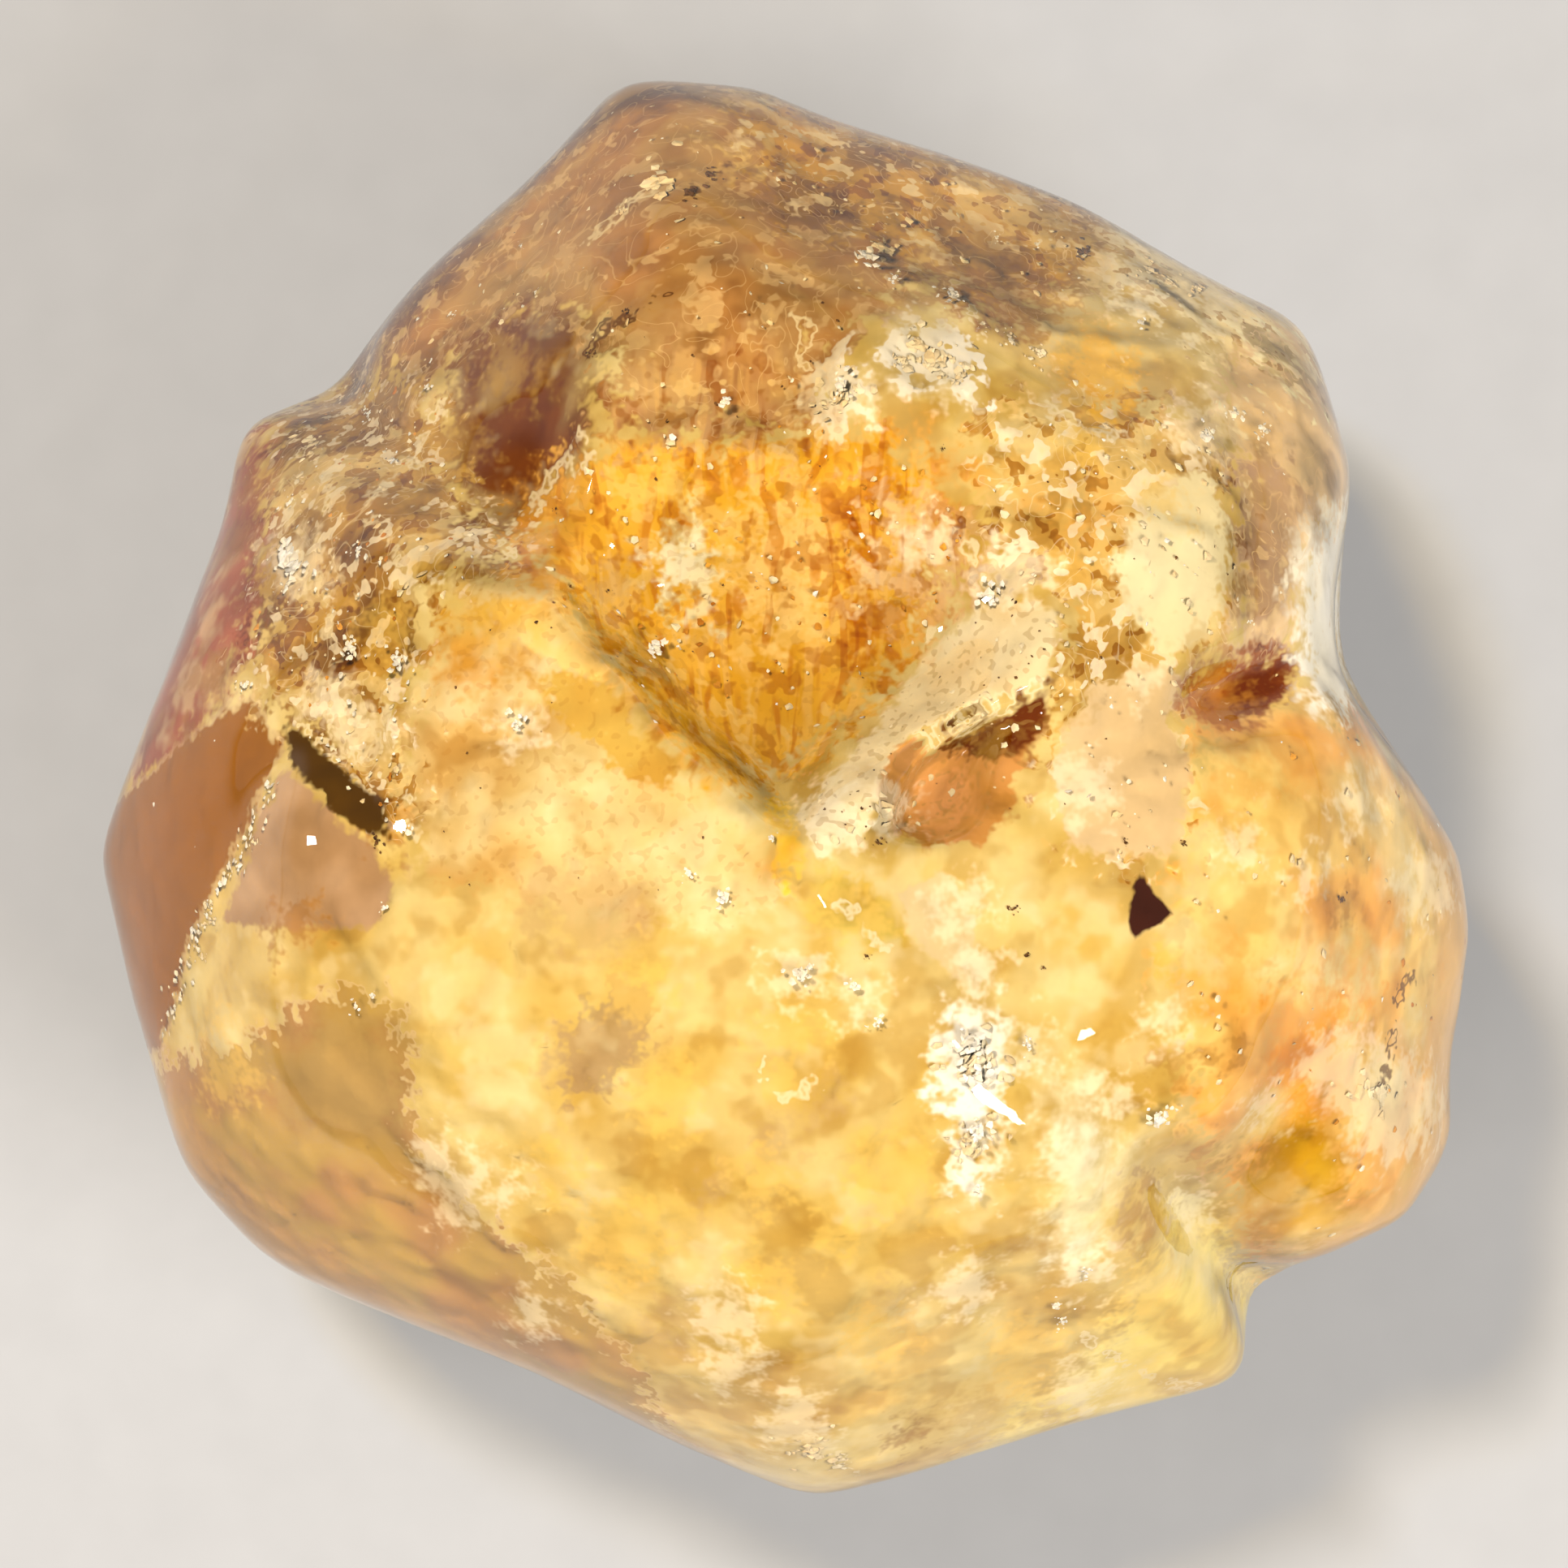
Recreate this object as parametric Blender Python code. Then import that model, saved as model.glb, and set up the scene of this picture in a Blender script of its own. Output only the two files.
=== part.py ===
"""A tumbled grossular garnet: one polished pebble lying on its flattest side.

Frame: +Z up, the resting face in the plane z = 0, the origin under the middle of the pebble.
Sizes are in millimetres here and are turned into Blender's metres once, when the mesh is made.
"""

import bisect
import math

import bmesh
import bpy
from mathutils import Vector, noise

MM = 0.001

# Driving dimensions.
RIM_HEIGHT = 6.3        # height of the widest section above the table
CROWN_HEIGHT = 8.6      # from the widest section up to the unworn crown
BELLY_DEPTH = 7.1       # from the widest section down to the unworn belly
CROWN_POWER = 2.3       # section of the crown: 2 is an ellipse, larger is boxier
BELLY_POWER = 2.6       # section of the belly
REST_BLEND = 0.6        # height over which the belly rounds into the flat resting face
CORE = Vector((0.0, 0.0, RIM_HEIGHT))

# Plan outline, anticlockwise from the right shoulder: the corners of the worn polygon that the
# pebble keeps, as (x, y, corner radius). A corner that turns inwards is a scoop or a notch.
OUTLINE = [
    (10.10, 2.15, 2.5),
    (10.20, 5.60, 3.0),
    (9.35, 8.25, 1.7),
    (5.90, 10.05, 5.0),
    (-0.50, 12.42, 3.0),
    (-2.95, 12.62, 1.3),
    (-8.00, 7.08, 0.8),
    (-9.68, 6.42, 0.9),
    (-9.90, 4.60, 2.0),
    (-12.38, -1.30, 1.2),
    (-10.50, -6.90, 3.0),
    (-9.30, -8.62, 3.0),
    (0.45, -12.62, 2.0),
    (8.25, -10.60, 0.9),
    (8.25, -8.98, 0.2),
    (11.05, -7.60, 1.4),
    (11.90, -6.30, 1.4),
    (11.72, -4.85, 3.0),
    (12.12, -2.75, 2.0),
    (12.10, -1.30, 1.2),
    (11.35, 0.25, 3.0),
]

# Flats that tumbling wore on: (outward normal, depth worn off the blank, softness of the edge).
FLATS = [
    ((-0.62, 0.54, 0.57), 0.75, 0.9),
    ((0.38, 0.72, 0.58), 0.65, 1.0),
    ((-0.50, -0.58, 0.64), 0.80, 1.2),
    ((0.80, -0.12, 0.59), 0.55, 1.0),
    ((0.30, -0.72, 0.62), 0.65, 1.0),
    ((-0.84, -0.02, 0.54), 0.60, 0.8),
    ((0.10, 0.12, 0.98), 0.70, 0.8),
    ((0.62, 0.35, -0.70), 0.90, 1.0),
    ((-0.60, -0.25, -0.76), 0.80, 1.0),
    ((-0.05, 0.75, -0.66), 0.70, 1.0),
]

# Hollows with walls, seen in plan: (depth, [(x, y, wall width of the side that starts here)]),
# corners anticlockwise.
BASIN = (1.5, [
    (0.25, -1.70, 1.7),
    (4.50, 2.00, 1.5),
    (3.60, 5.60, 2.0),
    (-3.20, 6.10, 2.0),
    (-4.70, 3.90, 0.8),
])
CAVITY = (1.0, [
    (1.60, -1.05, 0.5),
    (3.30, -1.00, 0.5),
    (4.40, 1.30, 0.5),
    (4.30, 1.75, 0.35),
    (2.00, 0.60, 0.35),
])
CHIP = (0.45, [(5.95, -2.60, 0.25), (6.57, -2.07, 0.25), (6.00, -1.52, 0.25)])
HOLLOWS = [BASIN, CAVITY, CHIP]

# Rounded dents: (centre x, y, long half-axis, short half-axis, turn in degrees, depth).
DENTS = [
    (7.80, 1.50, 1.15, 0.60, 25.0, 0.75),
    (8.60, -6.80, 1.50, 0.90, 70.0, 0.55),
    (-4.50, 5.30, 1.80, 1.20, -60.0, 0.60),
    (-7.60, 0.10, 1.50, 0.35, -50.0, 0.35),
    (10.60, 2.60, 2.20, 1.20, -60.0, 0.50),
]

# Grooves and ridges along a line: (x0, y0, x1, y1, half-width, depth). A ridge has a depth under 0.
CREASES = [
    (8.30, -9.10, 6.80, -6.90, 0.70, 0.55),
    (-8.00, 7.00, -5.00, 4.60, 1.10, 0.45),
    (0.60, -0.70, 4.45, 2.30, 0.75, -0.45),
    (-4.60, 3.70, 0.15, -1.50, 0.80, -0.25),
    (0.50, -1.90, 3.00, -4.20, 0.60, -0.25),
    (-8.90, 0.60, -10.60, -4.60, 0.50, 0.20),
]

LUMP_SIZE = 4.2         # spacing of the broad waves that tumbling leaves
LUMP_HEIGHT = 0.28
GRAIN_SIZE = 1.3        # spacing of the finer waves over softer spots
GRAIN_HEIGHT = 0.07
WANDER_SIZE = 1.9       # spacing at which the hollows' edges wander
WANDER = 0.32           # how far they wander
ACROSS = Vector((0.0, 0.0, 7.3))  # where in the noise the y shift is read, away from the x shift
RIM_BAND = 2.0          # height around the widest section over which the carving fades out

SPHERE_LEVEL = 5        # 5,120 triangles before walls and sharp folds are refined
SPLIT_ROUNDS = 2        # how many times an edge may be halved
SPLIT_BOW = 0.03        # an edge is halved where the surface bows this far from it
OUTLINE_STEP = 6.0      # degrees between the points of a rounded corner


def smooth(t):
    """Eased step from 0 at t = 0 to 1 at t = 1."""
    t = max(0.0, min(1.0, t))
    return t * t * (3.0 - 2.0 * t)


def soft_over(value, softness):
    """How far value is above 0, rounded off over the softness."""
    if value <= -softness:
        return 0.0
    if value >= softness:
        return value
    return (value + softness) ** 2 / (4.0 * softness)


def rounded_polygon(corners):
    """The closed outline as 2-D points, with each corner replaced by an arc."""
    points = []
    for i, (x, y, radius) in enumerate(corners):
        corner = Vector((x, y))
        before = (Vector(corners[i - 1][:2]) - corner).normalized()
        after = (Vector(corners[(i + 1) % len(corners)][:2]) - corner).normalized()
        half = before.angle(after) / 2.0
        centre = corner + (before + after).normalized() * (radius / math.sin(half))
        start = corner + before * (radius / math.tan(half)) - centre
        turn = math.pi - 2.0 * half
        if before.x * after.y - before.y * after.x > 0.0:
            turn = -turn
        steps = max(2, round(math.degrees(abs(turn)) / OUTLINE_STEP))
        for k in range(steps + 1):
            angle = turn * k / steps
            c, s = math.cos(angle), math.sin(angle)
            points.append(centre + Vector((start.x * c - start.y * s, start.x * s + start.y * c)))
    return points


def polar(points):
    """The outline as (angle, radius) pairs in order of angle, with a turn's overlap at each end."""
    pairs = sorted((math.atan2(p.y, p.x), p.length) for p in points)
    full = 2.0 * math.pi
    return [(pairs[-1][0] - full, pairs[-1][1])] + pairs + [(pairs[0][0] + full, pairs[0][1])]


PLAN = polar(rounded_polygon(OUTLINE))
PLAN_ANGLES = [angle for angle, _ in PLAN]


def plan_radius(angle):
    """Distance from the axis to the outline, straight between the outline's points."""
    i = bisect.bisect_right(PLAN_ANGLES, angle)
    (a0, r0), (a1, r1) = PLAN[i - 1], PLAN[i]
    p0 = Vector((r0 * math.cos(a0), r0 * math.sin(a0)))
    p1 = Vector((r1 * math.cos(a1), r1 * math.sin(a1)))
    along = p1 - p0
    ray = Vector((math.cos(angle), math.sin(angle)))
    cross = ray.x * along.y - ray.y * along.x
    return (p0.x * along.y - p0.y * along.x) / cross if abs(cross) > 1e-9 else r0


def blank(direction):
    """The unworn pebble: a boxy dome and belly over the plan outline."""
    level = math.hypot(direction.x, direction.y)
    reach = plan_radius(math.atan2(direction.y, direction.x))
    above = direction.z > 0.0
    height = CROWN_HEIGHT if above else BELLY_DEPTH
    power = CROWN_POWER if above else BELLY_POWER
    r = ((level / reach) ** power + (abs(direction.z) / height) ** power) ** (-1.0 / power)
    return CORE + direction * r


def flats_on(directions):
    """Each flat as (unit normal, distance from the core, softness), measured in from the blank."""
    bodies = [blank(direction) - CORE for direction in directions]
    planes = []
    for normal, depth, softness in FLATS:
        normal = Vector(normal).normalized()
        planes.append((normal, max(normal.dot(p) for p in bodies) - depth, softness))
    return planes


def hollow_depth(x, y, hollow):
    """Depth of a walled hollow at a point in plan: full inside, nothing outside its sides."""
    depth, sides = hollow
    for i, (x0, y0, wall) in enumerate(sides):
        x1, y1, _ = sides[(i + 1) % len(sides)]
        length = math.hypot(x1 - x0, y1 - y0)
        inside = ((x1 - x0) * (y - y0) - (y1 - y0) * (x - x0)) / length
        depth *= smooth(inside / wall)
    return depth


def dent_depth(x, y, dent):
    """Depth of a rounded dent, deepest at its centre."""
    cx, cy, long_axis, short_axis, turn, depth = dent
    c, s = math.cos(math.radians(turn)), math.sin(math.radians(turn))
    u = ((x - cx) * c + (y - cy) * s) / long_axis
    v = ((y - cy) * c - (x - cx) * s) / short_axis
    return depth * math.exp(-(u * u + v * v))


def crease_depth(x, y, crease):
    """Depth of a groove, or height of a ridge as a negative depth, around its line."""
    x0, y0, x1, y1, half_width, depth = crease
    dx, dy = x1 - x0, y1 - y0
    t = max(0.0, min(1.0, ((x - x0) * dx + (y - y0) * dy) / (dx * dx + dy * dy)))
    away = math.hypot(x - x0 - t * dx, y - y0 - t * dy) / half_width
    return depth * math.exp(-away * away)


def wandered(point):
    """The plan place whose hollows show here: an uneven shift that keeps their edges natural."""
    plan = Vector((point.x, point.y, 0.0)) / WANDER_SIZE
    return (
        point.x + WANDER * noise.noise(plan),
        point.y + WANDER * noise.noise(plan + ACROSS),
    )


def carved(point):
    """Depth of everything cut into the crown, or raised from it, at this point of the blank."""
    x, y = wandered(point)
    depth = sum(hollow_depth(x, y, hollow) for hollow in HOLLOWS)
    depth += sum(dent_depth(x, y, dent) for dent in DENTS)
    depth += sum(crease_depth(x, y, crease) for crease in CREASES)
    return depth * smooth((point.z - RIM_HEIGHT) / RIM_BAND + 0.5)


def worn(direction, planes):
    """The finished surface point in this direction from the core."""
    point = blank(direction)
    for normal, distance, softness in planes:
        point -= normal * soft_over(normal.dot(point - CORE) - distance, softness)
    outward = (point - CORE).normalized()
    point -= outward * carved(point)
    point += outward * LUMP_HEIGHT * noise.noise(point / LUMP_SIZE)
    point += outward * GRAIN_HEIGHT * noise.noise(point / GRAIN_SIZE)
    point.z = soft_over(point.z, REST_BLEND)
    return point


def bow(edge, planes):
    """How far the finished surface stands off the straight edge, at the edge's middle."""
    start, end = (worn(vertex.co.normalized(), planes) for vertex in edge.verts)
    middle = worn((edge.verts[0].co + edge.verts[1].co).normalized(), planes)
    return (middle - start).cross((end - start).normalized()).length


def garnet_material():
    """Clear honey-coloured grossular with a polished surface."""
    material = bpy.data.materials.new("polished_grossular")
    material.use_nodes = True
    shader = material.node_tree.nodes["Principled BSDF"]
    shader.inputs["Base Color"].default_value = (0.87, 0.55, 0.17, 1.0)
    shader.inputs["Roughness"].default_value = 0.08
    shader.inputs["Metallic"].default_value = 0.0
    shader.inputs["IOR"].default_value = 1.734
    return material


def garnet():
    """The whole stone as one closed mesh, its walls and folds meshed finer than its flats."""
    bm = bmesh.new()
    bmesh.ops.create_icosphere(bm, subdivisions=SPHERE_LEVEL, radius=1.0)
    planes = flats_on([vertex.co.normalized() for vertex in bm.verts])
    for _ in range(SPLIT_ROUNDS):
        bmesh.ops.subdivide_edges(bm, edges=[e for e in bm.edges if bow(e, planes) > SPLIT_BOW], cuts=1)
        bmesh.ops.triangulate(bm, faces=bm.faces)
    for vertex in bm.verts:
        vertex.co = worn(vertex.co.normalized(), planes) * MM
    bmesh.ops.recalc_face_normals(bm, faces=bm.faces)
    mesh = bpy.data.meshes.new("garnet")
    bm.to_mesh(mesh)
    bm.free()
    mesh.shade_smooth()
    mesh.materials.append(garnet_material())
    stone = bpy.data.objects.new("garnet", mesh)
    bpy.context.scene.collection.objects.link(stone)
    return stone


for old in list(bpy.data.objects):
    bpy.data.objects.remove(old)
garnet()
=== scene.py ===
"""A tumbled, polished grossular garnet on a pale table: clear honey-brown stone round a milky heart."""

import math

import bmesh
import bpy
import numpy as np
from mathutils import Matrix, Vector, kdtree, noise
from mathutils.bvhtree import BVHTree


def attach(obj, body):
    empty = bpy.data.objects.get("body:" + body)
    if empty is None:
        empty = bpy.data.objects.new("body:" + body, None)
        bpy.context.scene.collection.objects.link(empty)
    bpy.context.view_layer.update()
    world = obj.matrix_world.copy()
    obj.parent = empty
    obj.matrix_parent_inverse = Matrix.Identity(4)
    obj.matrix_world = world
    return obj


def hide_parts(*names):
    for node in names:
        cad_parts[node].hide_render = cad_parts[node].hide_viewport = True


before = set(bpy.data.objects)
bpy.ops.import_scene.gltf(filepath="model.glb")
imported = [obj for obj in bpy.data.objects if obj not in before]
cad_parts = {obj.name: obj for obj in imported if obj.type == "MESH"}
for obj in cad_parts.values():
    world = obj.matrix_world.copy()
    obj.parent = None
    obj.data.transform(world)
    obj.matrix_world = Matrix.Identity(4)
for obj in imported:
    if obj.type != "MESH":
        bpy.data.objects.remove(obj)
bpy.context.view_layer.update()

# ---------------------------------------------------------------------------------------------
# Table and light: a pale seamless board under a studio tent, which is darker overhead than at
# its sides. Three soft lamps light the stone from above and one under the board gives it the glow
# that a pale board sends up. Two small ones put the sparks on its polish.
# ---------------------------------------------------------------------------------------------

MM = 0.001


def linear(sheet_colour):
    """The linear RGBA of an sRGB hex colour such as 'f2c46e'."""
    parts = [int(sheet_colour[i:i + 2], 16) / 255.0 for i in (0, 2, 4)]
    return (*[p / 12.92 if p <= 0.04045 else ((p + 0.055) / 1.055) ** 2.4 for p in parts], 1.0)


def add(tree, kind, settings=None, **links):
    """Adds a node: settings are its own properties, links its inputs' values or what feeds them."""
    made = tree.nodes.new("ShaderNode" + kind)
    for name, value in (settings or {}).items():
        setattr(made, name, value)
    for name, value in links.items():
        socket = made.inputs[int(name[2:])] if name.startswith("in") and name[2:].isdigit() \
            else made.inputs[name.replace("_", " ")]
        if isinstance(value, bpy.types.NodeSocket):
            tree.links.new(value, socket)
        else:
            socket.default_value = value
    return made


def new_material(name):
    """An empty node material and its node tree."""
    material = bpy.data.materials.new(name)
    material.use_nodes = True
    material.node_tree.nodes.clear()
    return material, material.node_tree


def new_object(name, mesh, material):
    """A smooth-shaded object of this mesh in the scene."""
    mesh.materials.clear()
    mesh.materials.append(material)
    mesh.shade_smooth()
    made = bpy.data.objects.new(name, mesh)
    bpy.context.scene.collection.objects.link(made)
    return made


TABLE_REACH = 0.6       # half the side of the board, m
STONE_MIDDLE = 0.007    # height of the stone's middle above the board, m

# Card with a matt white coat: its fine tooth keeps the tone from being dead flat.
board_material, tree = new_material("matt_white_board")
speckle = add(tree, "TexNoise", Scale=900.0, Detail=3.0)
board_tone = add(tree, "ValToRGB", Fac=speckle.outputs["Fac"])
board_tone.color_ramp.elements[0].color = linear("a2a2a3")
board_tone.color_ramp.elements[1].color = linear("aaaaab")
# The board also glows faintly of its own: painted light that stands in for the light a pale board bounces
# back.
board = add(tree, "BsdfPrincipled", Base_Color=board_tone.outputs["Color"], Roughness=0.7,
            Emission_Color=linear("fff8ee"), Emission_Strength=0.12)
add(tree, "OutputMaterial", Surface=board.outputs["BSDF"])

board_mesh = bpy.data.meshes.new("table")
board_mesh.from_pydata(
    [(-TABLE_REACH, -TABLE_REACH, 0.0), (TABLE_REACH, -TABLE_REACH, 0.0),
     (TABLE_REACH, TABLE_REACH, 0.0), (-TABLE_REACH, TABLE_REACH, 0.0)], [], [(0, 1, 2, 3)])
table = new_object("table", board_mesh, board_material)
table.visible_shadow = False    # lets the lamp under it through

# The tent is white cloth. Its dim top keeps the polish from looking milky.
world = bpy.data.worlds.new("studio_tent")
world.use_nodes = True
tree = world.node_tree
tree.nodes.clear()
height = add(tree, "SeparateXYZ", Vector=add(tree, "TexCoord").outputs["Generated"])
overhead = add(tree, "MapRange", {"interpolation_type": "SMOOTHSTEP"},
               Value=height.outputs["Z"], in1=0.02, in2=0.30, in3=0.48, in4=0.12)
sky = add(tree, "Background", Color=linear("f4f2f2"), Strength=overhead.outputs["Result"])
add(tree, "OutputWorld", Surface=sky.outputs["Background"])
bpy.context.scene.world = world


def lamp(name, place, size, watts, colour, mirrored=True):
    """A square area lamp aimed at the stone. One that isn't mirrored leaves no glint on it."""
    light = bpy.data.lights.new(name, "AREA")
    light.size = size
    light.energy = watts
    light.color = linear(colour)[:3]
    light.cycles.use_multiple_importance_sampling = mirrored
    made = bpy.data.objects.new(name, light)
    made.location = place
    aim = Vector((0.0, 0.0, STONE_MIDDLE)) - Vector(place)
    made.rotation_euler = aim.to_track_quat("-Z", "Y").to_euler()
    made.visible_transmission = False
    made.visible_glossy = mirrored
    bpy.context.scene.collection.objects.link(made)
    return made


lamp("key_lamp", (-0.09, 0.11, 0.26), 0.04, 0.82, "fff6ea", mirrored=False)
lamp("fill_lamp", (0.19, -0.12, 0.17), 0.14, 0.82, "fffcf8", mirrored=False)
lamp("side_lamp", (-0.17, -0.15, 0.11), 0.10, 0.34, "fff5e8", mirrored=False)
lamp("board_glow", (0.0, 0.0, -0.06), 0.30, 0.11, "fff2e2", mirrored=False)
lamp("left_pin", (-0.261, -0.016, 0.151), 0.024, 0.06, "ffffff")
lamp("low_pin", (0.078, -0.120, 0.271), 0.020, 0.018, "ffffff")

bpy.context.scene.view_settings.view_transform = "Standard"
bpy.context.scene.cycles.max_bounces = 2
bpy.context.scene.cycles.diffuse_bounces = 0
bpy.context.scene.cycles.glossy_bounces = 1
bpy.context.scene.cycles.transmission_bounces = 2

# ---------------------------------------------------------------------------------------------
# Camera: a long macro lens looking straight down on the stone.
# ---------------------------------------------------------------------------------------------

LENS_MM, SENSOR_MM = 200.0, 36.0
FRAME_WIDTH = 0.02792   # what the frame takes in at the stone's widest section, m
RIM_HEIGHT = 0.0063     # height of that section above the table, m

camera_data = bpy.data.cameras.new("macro_camera")
camera_data.lens = LENS_MM
camera_data.sensor_width = SENSOR_MM
camera_data.clip_start = 0.01
camera = bpy.data.objects.new("macro_camera", camera_data)
camera.location = (0.0, 0.0, RIM_HEIGHT + FRAME_WIDTH * LENS_MM / SENSOR_MM)
bpy.context.scene.collection.objects.link(camera)
bpy.context.scene.camera = camera

# ---------------------------------------------------------------------------------------------
# Polished skin: the clear outer stone, tumbled until its whole surface is glossy. It is the CAD
# stone made finer, with the faint waves that tumbling leaves.
# ---------------------------------------------------------------------------------------------

SKIN_VOXEL = 0.16       # mm
GROSSULAR_IOR = 1.734
LET_THROUGH = (0.985, 0.93, 0.78)   # the share of red, green and blue left after a millimetre


def remeshed(mesh, voxel, smoothing, subdivisions=0):
    """The mesh made again with even faces of one voxel size in mm, then smoothed."""
    made = bpy.data.objects.new("blank", mesh)
    bpy.context.scene.collection.objects.link(made)
    if subdivisions:
        rounder = made.modifiers.new("rounder", "SUBSURF")
        rounder.levels = rounder.render_levels = subdivisions
    grid = made.modifiers.new("grid", "REMESH")
    grid.mode = "VOXEL"
    grid.voxel_size = voxel * MM
    if smoothing:
        relax = made.modifiers.new("relax", "SMOOTH")
        relax.factor = 0.5
        relax.iterations = smoothing
    depsgraph = bpy.context.evaluated_depsgraph_get()
    result = bpy.data.meshes.new_from_object(made.evaluated_get(depsgraph))
    bpy.data.objects.remove(made)
    return result


def corners_of(mesh):
    """The mesh's vertex places in mm."""
    flat = np.empty(len(mesh.vertices) * 3, np.float32)
    mesh.vertices.foreach_get("co", flat)
    return flat.reshape(-1, 3).astype(float) / MM


def move_corners(mesh, places):
    """Puts the mesh's vertices at these places in mm."""
    mesh.vertices.foreach_set("co", (places * MM).astype(np.float32).ravel())
    mesh.update()


def normals_of(mesh):
    """The mesh's vertex normals."""
    flat = np.empty(len(mesh.vertices) * 3, np.float32)
    mesh.vertex_normals.foreach_get("vector", flat)
    return flat.reshape(-1, 3).astype(float)


def store(mesh, name, values):
    """Keeps one number per vertex on the mesh for its material."""
    mesh.attributes.new(name, "FLOAT", "POINT").data.foreach_set("value", values.astype(np.float32))


def waves(points, size, shift=0.0):
    """Smooth uneven waves of this spacing in mm, about -1 to 1, at each point."""
    offset = Vector((shift, shift, shift))
    return np.array([noise.noise(Vector(p) / size + offset) for p in points])


# The CAD stone, with the corners that its triangles share made one.
joined = bmesh.new()
joined.from_mesh(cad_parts["garnet"].data)
bmesh.ops.remove_doubles(joined, verts=joined.verts, dist=1e-6)
stone_mesh = bpy.data.meshes.new("stone")
joined.to_mesh(stone_mesh)
joined.free()

skin_mesh = remeshed(stone_mesh, SKIN_VOXEL, 8, subdivisions=1)
places = corners_of(skin_mesh)
resting = np.clip(places[:, 2] / 1.0, 0.0, 1.0)
move_corners(skin_mesh, places - normals_of(skin_mesh) * (
    resting * (0.02 + 0.02 * waves(places, 1.3)))[:, None])

# The tumbler's grit doesn't reach the bottom of the deepest hollows, so these stay frosted.
HOLLOWS = [(2.9, -0.2, 1.1), (-8.0, 0.4, 0.5)]   # middle and radius in mm
frosting = np.zeros(len(places))
for x, y, radius in HOLLOWS:
    frosting = np.maximum(frosting, 1.0 - np.hypot(places[:, 0] - x, places[:, 1] - y) / radius)
store(skin_mesh, "frosting", frosting)

# Clear grossular: glassy and colourless in a thin edge, honey-coloured where light goes deep.
skin_material, tree = new_material("polished_clear_grossular")
frost = add(tree, "MapRange", {"interpolation_type": "SMOOTHSTEP"},
            in0=add(tree, "Attribute", {"attribute_name": "frosting"}).outputs["Fac"],
            in1=0.1, in2=0.6, in3=0.03, in4=0.13).outputs["Result"]
clear = add(tree, "BsdfPrincipled", Base_Color=(1.0, 1.0, 1.0, 1.0), Roughness=frost, IOR=GROSSULAR_IOR,
            Transmission_Weight=1.0)
lamp_way = add(tree, "BsdfTransparent", Color=(0.93, 0.93, 0.93, 1.0))
surface = add(tree, "MixShader", in0=add(tree, "LightPath").outputs["Is Shadow Ray"],
              in1=clear.outputs["BSDF"], in2=lamp_way.outputs["BSDF"])
density = -math.log(min(LET_THROUGH)) / MM
tint = [1.0 + math.log(share) / MM / density for share in LET_THROUGH]
inside = add(tree, "VolumeAbsorption", Color=(*tint, 1.0), Density=density)
add(tree, "OutputMaterial", Surface=surface.outputs["Shader"], Volume=inside.outputs["Volume"])

polished_skin = new_object("polished_skin", skin_mesh, skin_material)
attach(polished_skin, "root")
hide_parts("garnet")

# ---------------------------------------------------------------------------------------------
# Milky heart: most of the stone is clouded by fine healed cracks and bubbles that start a little
# under the polish. Where the stone is clear, the cloud lies deeper and looks browner through it.
# ---------------------------------------------------------------------------------------------

CLOUD_VOXEL = 0.15      # mm
CLOUD_DEPTH = 0.32      # how far under the polish the cloud starts, mm
CROWN_START = 4.5       # height from which the crown's own zones show, mm
LOOK_STEP = 0.12        # the polish bends the view, so zones are placed by looks this far apart, mm
LOOK_FROM = 30.0        # height that looks start from, above the whole stone, mm
SKIN_STEP = 0.02        # how far past the polish a look goes on, mm
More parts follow.
